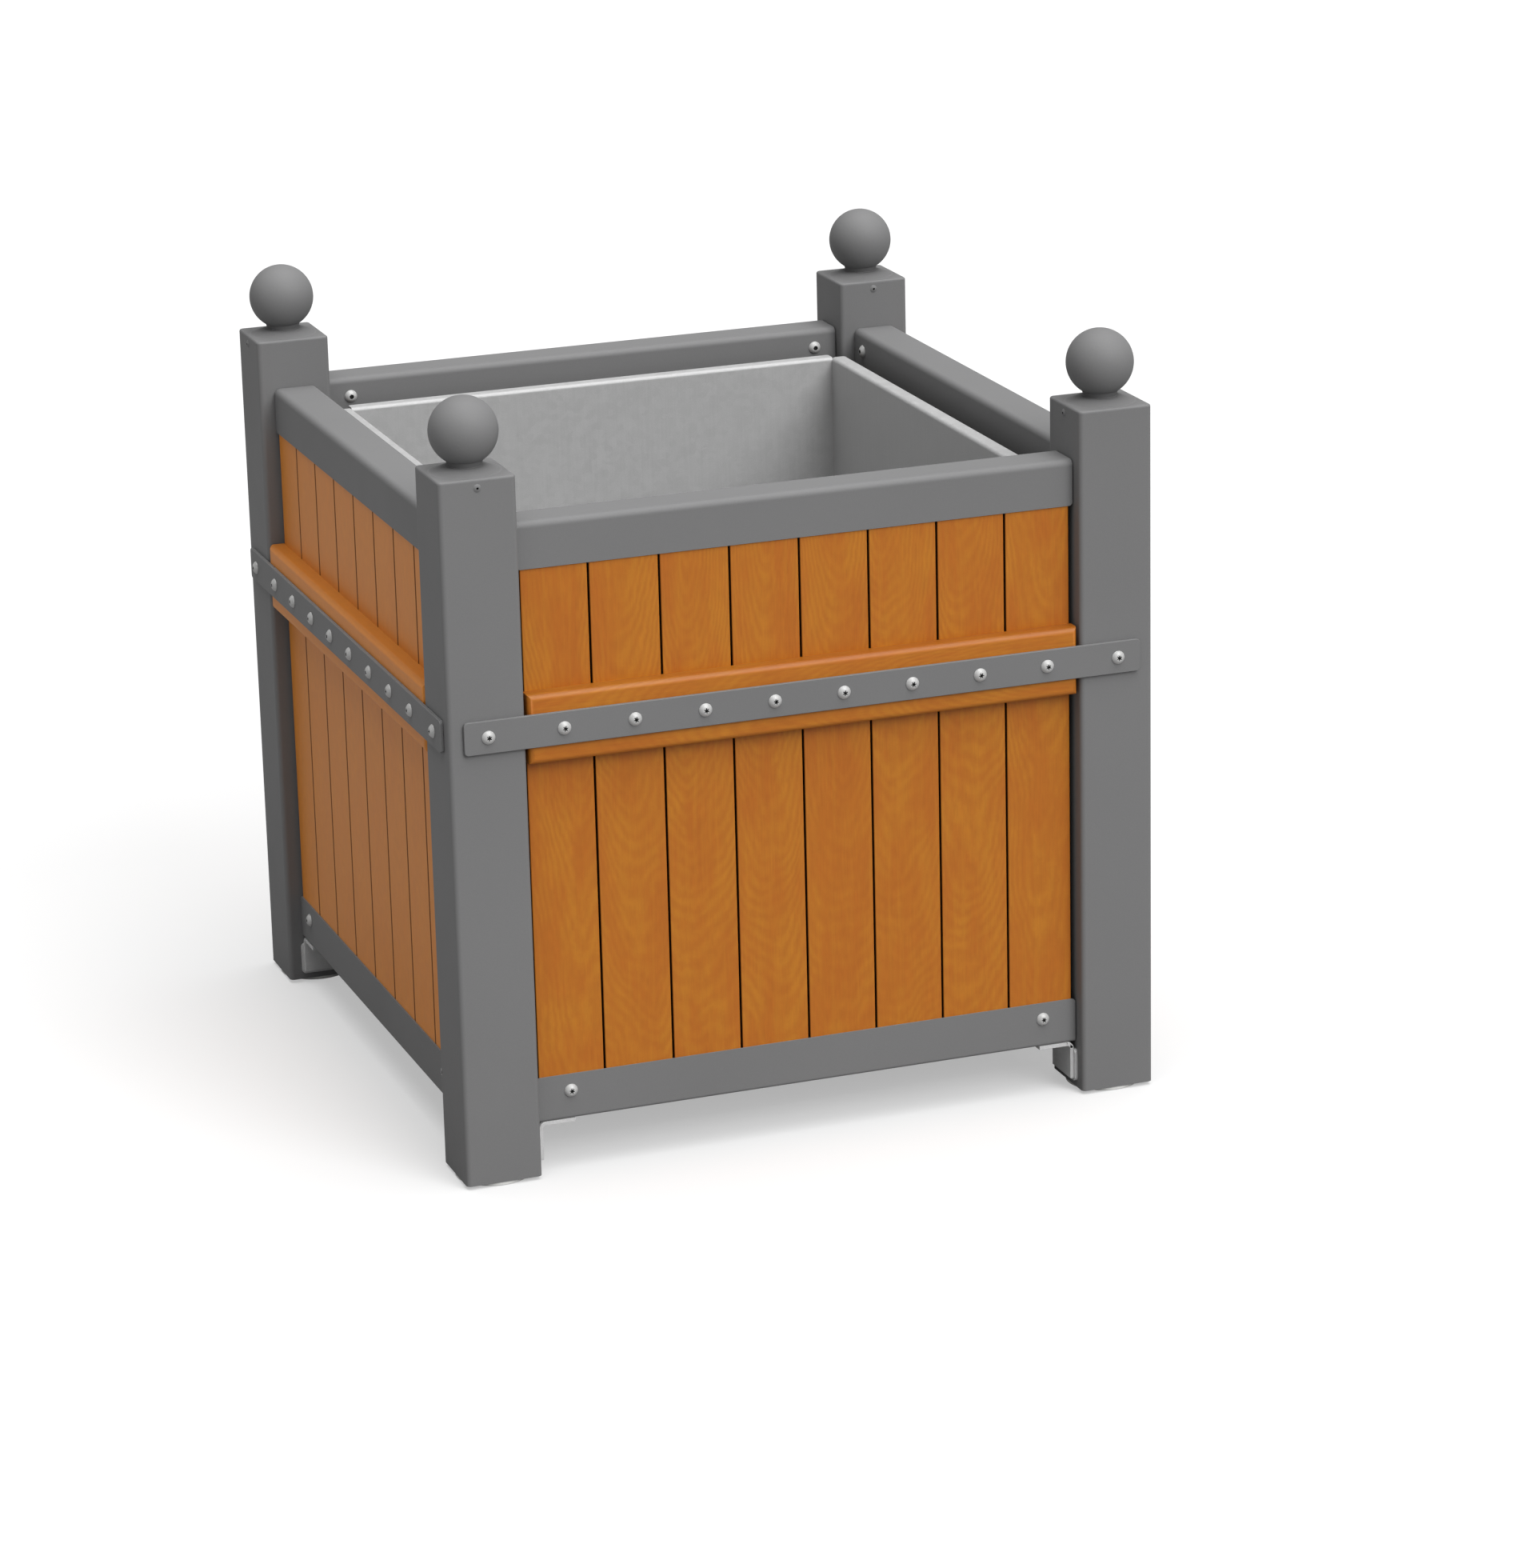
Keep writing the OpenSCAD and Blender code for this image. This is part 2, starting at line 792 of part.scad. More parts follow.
// Lift-out liner for the soil
module liner() {
  liner_w = liner_in + 2 * liner_sheet;
  wall_h = liner_top_z - rim_bend_r - liner_foot_z;
  color(zinc) {
    difference() {
      translate([-liner_w / 2, -liner_w / 2, liner_foot_z])
        cube([liner_w, liner_w, wall_h]);
      translate([-liner_half, -liner_half, liner_foot_z + liner_sheet])
        cube([liner_in, liner_in, wall_h]);
      for (i = [-1 : 1], j = [-1 : 1])
        translate([i * drain_pitch, j * drain_pitch, liner_foot_z - over])
          cylinder(h = liner_sheet + 2 * over, d = drain_d);
    }
    for (turn = [0 : 90 : 270])
      rotate([0, 0, turn])
        liner_rim();
  }
}

// Bearer that carries the liner, notched over the inner walls of the side rails
module bearer(y) {
  wall_x = half - rail_back;
  color(zinc)
    difference() {
      run(2 * (wall_x + bearer_past))
        translate([y - bearer_w / 2, bearer_foot_z + bearer_h])
          mirror([0, 1])
            channel(bearer_w, bearer_h, bearer_t, bearer_bend_r);
      both_ends()
        translate([-wall_x - rail_sheet - slip_fit, y - bearer_w, bearer_foot_z - over])
          cube([rail_sheet + 2 * slip_fit, 2 * bearer_w, notch_depth + over]);
    }
}

post(0);  // post_front_left
post(90);  // post_front_right
post(180);  // post_back_right
post(270);  // post_back_left
cap(0);  // cap_front_left
cap(90);  // cap_front_right
cap(180);  // cap_back_right
cap(270);  // cap_back_left
finial(0);  // finial_front_left
finial(90);  // finial_front_right
finial(180);  // finial_back_right
finial(270);  // finial_back_left
foot_plates();
cap_rivets();
finial_nuts();
foot_pad(0);  // foot_pad_front_left
foot_pad(90);  // foot_pad_front_right
foot_pad(180);  // foot_pad_back_right
foot_pad(270);  // foot_pad_back_left
foot_spindle(0);  // foot_spindle_front_left
foot_spindle(90);  // foot_spindle_front_right
foot_spindle(180);  // foot_spindle_back_right
foot_spindle(270);  // foot_spindle_back_left
top_rail(0);  // top_rail_front
top_rail(90);  // top_rail_right
top_rail(180);  // top_rail_back
top_rail(270);  // top_rail_left
bottom_rail(0);  // bottom_rail_front
bottom_rail(90);  // bottom_rail_right
bottom_rail(180);  // bottom_rail_back
bottom_rail(270);  // bottom_rail_left
boards(0);  // boards_front
boards(90);  // boards_right
boards(180);  // boards_back
boards(270);  // boards_left
batten(0);  // batten_front
batten(90);  // batten_right
batten(180);  // batten_back
batten(270);  // batten_left
band(0);  // band_front
band(90);  // band_right
band(180);  // band_back
band(270);  // band_left
band_bolts(0);  // band_bolts_front
band_bolts(90);  // band_bolts_right
band_bolts(180);  // band_bolts_back
band_bolts(270);  // band_bolts_left
band_nuts();
bottom_rail_bolts();
bottom_rail_nuts();
top_rail_bolts();
rail_cleats();
corner_brackets();
backing_plates();
bracket_bolts();
bracket_nuts();
liner();
bearer(-bearer_y);  // bearer_front
bearer(bearer_y);  // bearer_back
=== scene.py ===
# %% [markdown]
# # Dressing a square planter
# The planter is a steel frame: four square posts with ball finials, folded rails between them,
# upright boards held in the rails, a batten and a flat band bolted across each side, and a
# galvanised liner that lifts out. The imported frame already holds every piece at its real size.
# This lesson gives each piece the surface that it has in the photograph, and remodels the ones
# that the eye goes to: boards, battens, bands, bolts, rivets, finials and feet.

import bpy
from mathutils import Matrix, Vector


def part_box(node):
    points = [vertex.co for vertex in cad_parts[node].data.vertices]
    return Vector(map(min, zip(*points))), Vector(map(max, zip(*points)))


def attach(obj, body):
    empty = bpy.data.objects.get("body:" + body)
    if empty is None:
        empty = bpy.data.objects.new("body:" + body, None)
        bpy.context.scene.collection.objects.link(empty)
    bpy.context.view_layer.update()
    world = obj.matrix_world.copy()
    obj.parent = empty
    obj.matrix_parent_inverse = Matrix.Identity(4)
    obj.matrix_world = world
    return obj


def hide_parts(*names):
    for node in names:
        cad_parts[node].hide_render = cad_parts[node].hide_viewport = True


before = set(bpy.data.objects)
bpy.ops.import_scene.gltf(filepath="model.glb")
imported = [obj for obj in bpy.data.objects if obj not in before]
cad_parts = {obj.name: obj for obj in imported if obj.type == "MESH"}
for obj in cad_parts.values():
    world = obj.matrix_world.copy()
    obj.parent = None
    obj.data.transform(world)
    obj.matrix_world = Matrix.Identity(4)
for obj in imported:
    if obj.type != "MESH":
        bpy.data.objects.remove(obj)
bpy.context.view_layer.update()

# %% The other modules
import math
import random

import bmesh
import bpy
from mathutils import Matrix, Vector

MM = 0.001

# %% [markdown]
# ## The camera
# The camera stands where the photograph's lens stood. Its place and angles were worked out
# from straight edges whose real lengths are known, such as the posts and the rails. A long lens
# keeps the verticals almost parallel. Three angles are easier to read than a rotation matrix:
# the azimuth goes round the planter, the elevation looks down, and the roll tips the horizon.

# %% Camera
VIEW_AZIMUTH = math.radians(-19.637)
VIEW_ELEVATION = math.radians(17.577)
VIEW_ROLL = math.radians(-1.408)
VIEW_PLACE = Vector((-2.2042, -6.4505, 2.4981))
VIEW_FOCAL_PIXELS = 6603
PHOTO_HEIGHT_PIXELS = 1960
SENSOR = 36
VIEW_REACH = 100


def camera_turn(azimuth, elevation, roll):
    """The camera's axes as a matrix: right, up and back."""
    back = Vector((
        math.sin(azimuth) * math.cos(elevation),
        -math.cos(azimuth) * math.cos(elevation),
        math.sin(elevation),
    ))
    right = Vector((0, 0, 1)).cross(back).normalized()
    up = back.cross(right)
    tipped_right = math.cos(roll) * right + math.sin(roll) * up
    tipped_up = back.cross(tipped_right)
    return Matrix((tipped_right, tipped_up, back)).transposed().to_4x4()


lens = bpy.data.cameras.new("view")
lens.sensor_width = SENSOR
lens.lens = VIEW_FOCAL_PIXELS * SENSOR / PHOTO_HEIGHT_PIXELS
lens.clip_end = VIEW_REACH
camera = bpy.data.objects.new("view", lens)
bpy.context.scene.collection.objects.link(camera)
camera.matrix_world = Matrix.Translation(VIEW_PLACE) @ camera_turn(
    VIEW_AZIMUTH, VIEW_ELEVATION, VIEW_ROLL
)
bpy.context.scene.camera = camera
print("camera: lens", round(lens.lens, 1), "mm")

# %% [markdown]
# ## Light and floor
# The photograph is a studio picture: white ground, a large soft light above, another in front
# that reaches a little under the planter, and a dim even room. Sun lamps with a wide angle give
# soft shadows and never fall off, so the floor stays even to the edge of the picture. The world
# lights the object dimly but shows white to the camera, which the Light Path node tells apart.
# The floor too looks paler to the camera than it is for the light that it sends back up.

# %% A helper that adds one shader node
def add(tree, kind, sockets=None, **settings):
    """A new shader node, with its settings, and its sockets set to a value or linked."""
    made = tree.nodes.new("ShaderNode" + kind)
    for name, value in settings.items():
        setattr(made, name, value)
    for name, value in (sockets or {}).items():
        if isinstance(value, bpy.types.NodeSocket):
            tree.links.new(value, made.inputs[name])
        else:
            made.inputs[name].default_value = value
    return made


# %% World
ROOM_LIGHT = 0.40
WHITE = (1, 1, 1, 1)

world = bpy.data.worlds.new("studio")
bpy.context.scene.world = world
world.use_nodes = True
tree = world.node_tree
tree.nodes.clear()
seen = add(tree, "LightPath").outputs["Is Camera Ray"]
strength = add(tree, "MapRange", {"Value": seen, "To Min": ROOM_LIGHT, "To Max": 1.0})
room = add(tree, "Background", {"Color": WHITE, "Strength": strength.outputs["Result"]})
add(tree, "OutputWorld", {"Surface": room.outputs[0]})
bpy.context.scene.view_settings.view_transform = "Standard"
print("world: room light", ROOM_LIGHT)

# %% Lamps
# The way from the planter to each lamp, as long as the lamp is bright, and how wide it looks
LAMPS = {
    "softbox_above": (Vector((0.06, -0.10, 0.95)), math.radians(60)),
    "softbox_in_front": (Vector((0.18, -0.48, 0.38)), math.radians(35)),
}
for name, (towards, angle) in LAMPS.items():
    sun = bpy.data.lights.new(name, "SUN")
    sun.energy = towards.length * math.pi
    sun.angle = angle
    lamp = bpy.data.objects.new(name, sun)
    bpy.context.scene.collection.objects.link(lamp)
    lamp.rotation_mode = "QUATERNION"
    lamp.rotation_quaternion = towards.to_track_quat("Z", "Y")
    print(name + ": strength", round(sun.energy, 2))

# %% Floor
FLOOR_SIZE = 60
FLOOR_GREY = 0.40
FLOOR_BOUNCE = 0.27
FLOOR_LIFT = 0.42

floor_paper = bpy.data.materials.new("floor_paper")
floor_paper.use_nodes = True
tree = floor_paper.node_tree
tree.nodes.clear()
seen = add(tree, "LightPath").outputs["Is Camera Ray"]
shade = add(tree, "MapRange", {"Value": seen, "To Min": FLOOR_BOUNCE, "To Max": FLOOR_GREY})
matt = add(tree, "BsdfDiffuse", {"Color": shade.outputs["Result"]})
lift = add(tree, "MapRange", {"Value": seen, "To Min": 0.0, "To Max": FLOOR_LIFT})
glow = add(tree, "Emission", {"Strength": lift.outputs["Result"]})
both = add(tree, "AddShader", {0: matt.outputs[0], 1: glow.outputs[0]})
add(tree, "OutputMaterial", {"Surface": both.outputs[0]})

bm = bmesh.new()
bmesh.ops.create_grid(bm, x_segments=1, y_segments=1, size=FLOOR_SIZE / 2)
mesh = bpy.data.meshes.new("floor")
bm.to_mesh(mesh)
bm.free()
mesh.materials.append(floor_paper)
floor = bpy.data.objects.new("floor", mesh)
bpy.context.scene.collection.objects.link(floor)
print("floor:", FLOOR_SIZE, "m square")

# %% [markdown]
# ## Painted steel
# The frame is powder coated in a mid grey with a satin face. Powder never dries quite flat: it
# leaves a faint orange peel a few millimetres across, which a fine noise bump gives. A slow
# noise keeps large faces from looking like flat colour, and a fast one gives the speckle of the
# powder. A Bevel node finds the edges and makes them paler, a painted highlight along them.
# Small holes are painted nearly black and the finials' necks a little darker, a painted shade
# that an attribute marks.

# %% Helpers for materials
def surface(name):
    """A new material, with its tree and its Principled shader."""
    made = bpy.data.materials.new(name)
    made.use_nodes = True
    tree = made.node_tree
    tree.nodes.clear()
    shader = add(tree, "BsdfPrincipled")
    add(tree, "OutputMaterial", {"Surface": shader.outputs[0]})
    return made, tree, shader


def noise(tree, where, scale, detail=2.0, roughness=0.5):
    """A noise of that many bumps to the metre."""
    return add(tree, "TexNoise", {
        "Vector": where, "Scale": scale, "Detail": detail, "Roughness": roughness,
    }).outputs["Fac"]


def scaled(tree, value, low, high, of_low=0.0, of_high=1.0):
    """A value stretched to lie between low and high."""
    return add(tree, "MapRange", {
        "Value": value, "From Min": of_low, "From Max": of_high, "To Min": low, "To Max": high,
    }).outputs["Result"]


# The Mix node's sockets for colours, which share their names with those for numbers
FIRST_COLOUR = 6
SECOND_COLOUR = 7
MIXED_COLOUR = 2


def mixed(tree, share, one, other, blend="MIX"):
    """Two colours mixed by a share."""
    made = add(tree, "Mix", {"Factor": share, FIRST_COLOUR: one, SECOND_COLOUR: other},
               data_type="RGBA", blend_type=blend)
    return made.outputs[MIXED_COLOUR]


def tinted(tree, colour, factor):
    """A colour made darker or lighter by a factor that varies over the surface."""
    grey = add(tree, "CombineColor", {0: factor, 1: factor, 2: factor}).outputs[0]
    return mixed(tree, 1.0, colour, grey, "MULTIPLY")


def varied(tree, colour, value, spread):
    """A colour that goes from a share darker to a share paler as a value goes from 0 to 1."""
    return tinted(tree, colour, scaled(tree, value, 1 - spread, 1 + spread))


def marked(tree, name):
    """A number that a piece carries in an attribute, and 0 where it has none."""
    return add(tree, "Attribute", attribute_name=name).outputs["Fac"]


def coloured(tree, shader, colour):
    """Gives a shader its colour."""
    tree.links.new(colour, shader.inputs["Base Color"])


def roughened(tree, shader, value, low, high):
    """Gives a shader a roughness from low to high as a value goes from 0 to 1."""
    tree.links.new(scaled(tree, value, low, high), shader.inputs["Roughness"])


def bumped(tree, shader, height, distance, strength):
    """Gives a shader a bump of a height in metres."""
    made = add(tree, "Bump", {"Height": height, "Distance": distance, "Strength": strength})
    tree.links.new(made.outputs[0], shader.inputs["Normal"])


# %% Paint
PAINT = (0.166, 0.166, 0.167, 1)
# The paler colour that the edges get, a painted highlight
PAINT_EDGE_HIGHLIGHT = (0.185, 0.185, 0.186, 1)
# The attribute that marks where painted shade goes, and the nearly black colour of that shade
SHADE_ATTRIBUTE = "painted_shade"
PAINTED_SHADE_DARK = (0.012, 0.012, 0.012, 1)
EDGE_REACH = 1.2 * MM
# How far the rounded normal agrees with the flat one, on an edge and on a face
EDGE_TURNED = (0.8, 0.995)
DRIFT_TO_METRE = 4
SPECKLE_TO_METRE = 900
SHEEN_TO_METRE = 12
PEEL_TO_METRE = 330
PEEL_HEIGHT = 0.15 * MM

painted, tree, shader = surface("painted_steel")
where = add(tree, "TexCoord").outputs["Object"]
drift = noise(tree, where, DRIFT_TO_METRE)
speckle = noise(tree, where, SPECKLE_TO_METRE, 1)
rounded = add(tree, "Bevel", {"Radius": EDGE_REACH}, samples=4).outputs[0]
flat = add(tree, "NewGeometry").outputs["Normal"]
along = add(tree, "VectorMath", {0: rounded, 1: flat}, operation="DOT_PRODUCT").outputs["Value"]
# The edges are painted paler: a painted highlight
edge = scaled(tree, along, 1.0, 0.0, *EDGE_TURNED)
paint = mixed(tree, edge, PAINT, PAINT_EDGE_HIGHLIGHT)
paint = varied(tree, varied(tree, paint, drift, 0.05), speckle, 0.06)
# Where the attribute marks holes and necks, they are painted dark: a painted shade
coloured(tree, shader, mixed(tree, marked(tree, SHADE_ATTRIBUTE), paint, PAINTED_SHADE_DARK))
roughened(tree, shader, noise(tree, where, SHEEN_TO_METRE), 0.52, 0.64)
shader.inputs["Specular IOR Level"].default_value = 0.2
bumped(tree, shader, noise(tree, where, PEEL_TO_METRE, 2), PEEL_HEIGHT, 0.5)
print("painted steel: peel", round(1 / PEEL_TO_METRE / MM), "mm, speckle",
      round(1 / SPECKLE_TO_METRE / MM), "mm")

# %% [markdown]
# ## Stained timber
# The boards are flat sawn, stained orange and lacquered. A saw that cuts a log flat meets its
# growth rings as long pointed arches. So the rings are drawn as what they are: circles round the
# heart of the log, which lies behind the board and leans a little, so that the flat face cuts
# them in nested arches. Painted stripes would be simpler, but would never make an arch.
# Each board carries its own coordinates and a number in attributes, so that one material gives
# each a different cut and the grain runs along every piece, whichever way it lies. A third
# attribute says how much painted light each side gets: the left side is painted paler than the
# front. Faces that look up are painted darker, a painted shade. The joints between the boards
# are painted nearly black, a painted shade, which the attribute of the paint marks here too. On
# the side painted palest, that painted shade covers the eased edges as well.

# %% Timber
GRAIN = "grain"
CUT = "cut"
# The attribute for the painted light that each side gets
SIDE_LIGHT = "painted_side_light"
RING_PITCH = 4.5 * MM
# At a scale of one the Wave texture turns its coordinates into this many radians to the metre
WAVE_UNIT = 20
FAR_APART = (31, 47, 59)
WANDER = (0.04, 0.05, 0.0)
WANDER_TO_METRE = (9, 9, 3.2)
HEART = (-0.02, 0.075, 0.0)
HEART_SPREAD = (0.04, 0.03, 0.0)
LEAN = (0.10, 0.0, 0.0)
LEAN_SPREAD = (0.12, 0.0, 0.0)
STAIN_PALE = (0.460, 0.166, 0.0100, 1)
STAIN_DEEP = (0.382, 0.116, 0.0062, 1)
STAIN_RED = (0.386, 0.102, 0.0062, 1)
# The paler stain that stands for painted light on a side
STAIN_SIDE_LIT = (0.720, 0.255, 0.0350, 1)

timber, tree, shader = surface("stained_timber")
grain = add(tree, "Attribute", attribute_name=GRAIN).outputs["Vector"]
dice = add(
    tree, "TexWhiteNoise", {"W": marked(tree, CUT)}, noise_dimensions="1D"
).outputs["Color"]


def moved(where, by):
    """A place moved by a vector."""
    return add(tree, "VectorMath", {0: where, 1: by}, operation="ADD").outputs[0]


def stretched(where, factors):
    """A place stretched by a factor along each axis."""
    return add(tree, "VectorMath", {0: where, 1: factors}, operation="MULTIPLY").outputs[0]


# Each board reads its noise at another far place, so that no two boards are alike
far = stretched(dice, FAR_APART)


def along_grain(across, along, detail=2.0):
    """Noise drawn out along the grain, with its bumps to the metre across and along."""
    return noise(tree, moved(stretched(grain, (across, across, along)), far), 1.0, detail)


wander = add(tree, "TexNoise", {
    "Vector": moved(stretched(grain, WANDER_TO_METRE), far), "Scale": 1.0, "Detail": 2.0,
}).outputs["Color"]
wander = stretched(moved(wander, (-0.5, -0.5, -0.5)), WANDER)
heart = moved(stretched(dice, HEART_SPREAD), HEART)
lean = moved(stretched(dice, LEAN_SPREAD), LEAN)
leaning = add(tree, "Mapping", {"Vector": grain, "Rotation": lean}).outputs[0]
rings = add(tree, "TexWave", {
    "Vector": moved(moved(leaning, heart), wander),
    "Scale": 2 * math.pi / (WAVE_UNIT * RING_PITCH),
    "Distortion": 2.4, "Detail": 2.0, "Detail Scale": 1.2, "Detail Roughness": 0.65,
}, wave_type="RINGS", rings_direction="Z", wave_profile="SIN").outputs["Fac"]
print("timber: rings every", round(RING_PITCH / MM, 1), "mm")

# %% The stain
RED_SHARE = 0.75
# How far a side's painted light pales the stain
SIDE_LIGHT_SHARE = 0.7
FIBRE_HEIGHT = 0.12 * MM
# How much darker faces that look up are painted, a painted shade
TOP_SHADE = 0.74
LOOKS_UP = (0.35, 0.85)
# The nearly black painted shade in the joints
JOINT_SHADE = (0.030, 0.014, 0.004, 1)
JOINT_SHARE = 0.95

blotch = along_grain(26, 9, 3.0)
vein = along_grain(150, 7)
fibre = along_grain(900, 40)
curl = along_grain(110, 70)
tone = mixed(tree, scaled(tree, rings, 0.15, 0.70), STAIN_PALE, STAIN_DEEP)
tone = mixed(tree, scaled(tree, blotch, 0.0, RED_SHARE, 0.38, 0.62), tone, STAIN_RED)
tone = mixed(tree, scaled(tree, vein, 0.0, 0.5, 0.5, 0.75), tone, STAIN_PALE)
# The sides are painted paler by their attribute: painted light, most on the left
side_light = scaled(tree, marked(tree, SIDE_LIGHT), 0.0, SIDE_LIGHT_SHARE)
tone = mixed(tree, side_light, tone, STAIN_SIDE_LIT)
tone = varied(tree, varied(tree, tone, fibre, 0.14), curl, 0.08)
# Faces that look up are painted darker: a painted shade
facing = add(tree, "NewGeometry").outputs["Normal"]
upward = add(tree, "SeparateXYZ", {0: facing}).outputs["Z"]
tone = tinted(tree, tone, scaled(tree, upward, 1.0, TOP_SHADE, *LOOKS_UP))
# The joints are painted nearly black: a painted shade
joint = scaled(tree, marked(tree, SHADE_ATTRIBUTE), 0.0, JOINT_SHARE)
coloured(tree, shader, mixed(tree, joint, tone, JOINT_SHADE))
roughened(tree, shader, fibre, 0.42, 0.54)
shader.inputs["Specular IOR Level"].default_value = 0.38
bumped(tree, shader, fibre, FIBRE_HEIGHT, 0.3)
print("stain: four tones, with the fibre in the gloss and the bump")

# %% [markdown]
# ## Galvanised steel
# The liner, the brackets and the bearers are dipped in zinc. Zinc freezes in crystals, the
# spangle, a few millimetres across, which a Voronoi texture gives, and weathers to a dull
# grey, so it is only half a mirror. Fine streaks run down the walls, as the zinc drained. The
# angles and plates under the rails are painted paler, as painted light in the shade there, so
# one function makes both tones.

# %% Galvanised sheet
ZINC_DULL = (0.40, 0.40, 0.40, 1)
# A paler zinc for the parts under the rails, painted light in their shade
ZINC_LIT = (0.56, 0.56, 0.56, 1)
ZINC_METALLIC = 0.15
SPANGLE_TO_METRE = 130
STREAKS_TO_METRE = (260, 260, 9)
GRIT_TO_METRE = 700
GRIT_HEIGHT = 0.08 * MM


def dipped(name, colour):
    """Galvanised steel in one tone."""
    made, tree, shader = surface(name)
    where = add(tree, "TexCoord").outputs["Object"]
    cells = add(tree, "TexVoronoi", {"Vector": where, "Scale": SPANGLE_TO_METRE})
    crystal = add(tree, "SeparateColor", {0: cells.outputs["Color"]}).outputs[0]
    drained = add(tree, "Mapping", {"Vector": where, "Scale": STREAKS_TO_METRE}).outputs[0]
    streak = noise(tree, drained, 1.0, 3)
    grit = noise(tree, where, GRIT_TO_METRE, 1)
    zinc = varied(tree, colour, crystal, 0.03)
    zinc = varied(tree, varied(tree, zinc, streak, 0.06), grit, 0.10)
    coloured(tree, shader, zinc)
    roughened(tree, shader, crystal, 0.46, 0.58)
    shader.inputs["Metallic"].default_value = ZINC_METALLIC
    bumped(tree, shader, grit, GRIT_HEIGHT, 0.4)
    return made


galvanised = dipped("galvanised_steel", ZINC_DULL)
# The paler copy is painted light for the angles and plates in the shade under the rails
galvanised_lit = dipped("galvanised_lit", ZINC_LIT)
print("galvanised sheet:", SPANGLE_TO_METRE, "crystals to the metre")

# %% [markdown]
# ## Bright zinc and pad plastic
# Bolts and nuts are plated and stay bright, with the soft scuffs of the tub they were plated
# in. The sockets for the key are painted nearly black, a painted shade, marked by the same
# attribute. The foot pads are moulded in a pale grey plastic with a fine matt grain.

# %% Bright zinc
ZINC_BRIGHT = (0.46, 0.46, 0.455, 1)
SCUFFS_TO_METRE = 420
SCUFF_HEIGHT = 0.04 * MM

plated, tree, shader = surface("zinc_fasteners")
where = add(tree, "TexCoord").outputs["Object"]
scuff = noise(tree, where, SCUFFS_TO_METRE, 4, 0.7)
bright = varied(tree, ZINC_BRIGHT, scuff, 0.08)
# The sockets, which the attribute marks, are painted dark: a painted shade
coloured(tree, shader, mixed(tree, marked(tree, SHADE_ATTRIBUTE), bright, PAINTED_SHADE_DARK))
roughened(tree, shader, scuff, 0.42, 0.54)
shader.inputs["Metallic"].default_value = ZINC_METALLIC
bumped(tree, shader, scuff, SCUFF_HEIGHT, 0.4)
print("bright zinc: scuffs", round(1 / SCUFFS_TO_METRE / MM), "mm")

# %% Pad plastic
PAD_GREY = (0.72, 0.72, 0.70, 1)
PEBBLES_TO_METRE = 1400
PEBBLE_HEIGHT = 0.1 * MM

moulded, tree, shader = surface("pad_plastic")
where = add(tree, "TexCoord").outputs["Object"]
pebble = noise(tree, where, PEBBLES_TO_METRE, 2)
coloured(tree, shader, varied(tree, PAD_GREY, pebble, 0.08))
roughened(tree, shader, pebble, 0.5, 0.65)
bumped(tree, shader, pebble, PEBBLE_HEIGHT, 0.4)
print("pad plastic: grain", round(1 / PEBBLES_TO_METRE / MM, 1), "mm")

# %% Every node of the frame gets its finish
FINISHES = {
    "painted_steel": painted,
    "stained_timber": timber,
    "galvanised_steel": galvanised,
    "zinc_fasteners": plated,
    "pad_plastic": moulded,
}
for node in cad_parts.values():
    for slot in node.material_slots:
        slot.material = FINISHES[slot.material.name.split(".")[0]]
print("finishes set on", len(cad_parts), "nodes")

# %% [markdown]
# ## Where things are
# A new piece goes exactly where the frame has the old one. A node may hold several solids, such
# as the ten bolts of one band. This helper merges a copy of a node's mesh, walks from vertex to
# vertex to find each solid, and returns its box. Each side of the planter is the front turned
# by a quarter, so the front is measured and built, and the other three are turned copies.

# %% The solids of a node
MERGE = 0.001 * MM
TURNS = {"front": 0, "right": 90, "back": 180, "left": 270}
CORNERS = ("front_left", "front_right", "back_right", "back_left")


def solids(name):
    """The lowest and highest corner of each separate solid in a node."""
    bm = bmesh.new()
    bm.from_mesh(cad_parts[name].data)
    bmesh.ops.remove_doubles(bm, verts=bm.verts, dist=MERGE)
    found = []
    for seed in bm.verts:
        if seed.tag:
            continue
        seed.tag = True
        island = [seed]
        for vert in island:
            for edge in vert.link_edges:
                other = edge.other_vert(vert)
                if not other.tag:
                    other.tag = True
                    island.append(other)
        places = [vert.co for vert in island]
        low = Vector([min(place[i] for place in places) for i in range(3)])
        high = Vector([max(place[i] for place in places) for i in range(3)])
        found.append((low, high))
    bm.free()
    return sorted(found, key=lambda box: tuple(box[0]))


print("front band bolts:", len(solids("band_bolts_front")))


# %% A finished bmesh becomes a piece
SMOOTH_BELOW = math.radians(35)


def piece(bm, name, finish, *nodes, body="frame", turn=0):
    """Turns a bmesh into place, gives it its finish and lets it stand for its nodes."""
    bmesh.ops.recalc_face_normals(bm, faces=bm.faces)
    turned = Matrix.Rotation(math.radians(turn), 4, "Z")
    bmesh.ops.transform(bm, matrix=turned, verts=bm.verts)
    mesh = bpy.data.meshes.new(name)
    bm.to_mesh(mesh)
    bm.free()
    mesh.materials.append(FINISHES[finish])
    mesh.shade_smooth()
    mesh.set_sharp_from_angle(angle=SMOOTH_BELOW)
    made = bpy.data.objects.new(name, mesh)
    bpy.context.scene.collection.objects.link(made)
    even = made.modifiers.new("even_faces", "WEIGHTED_NORMAL")
    even.keep_sharp = True
    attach(made, body)
    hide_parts(*nodes)
    return made


# %% [markdown]
# ## The boards
# Each board is planed and has its sharp corners taken off, or the stain would wear there first.
# A cube scaled to the board's size and bevelled along its edges is all that the shape needs.
# Before it goes to its place, each point keeps its place on the board in an attribute, which the
# timber material reads. One piece to a board lets each have its own cut of the log. The two
# side faces look into the joints, so they are marked for painted shade.

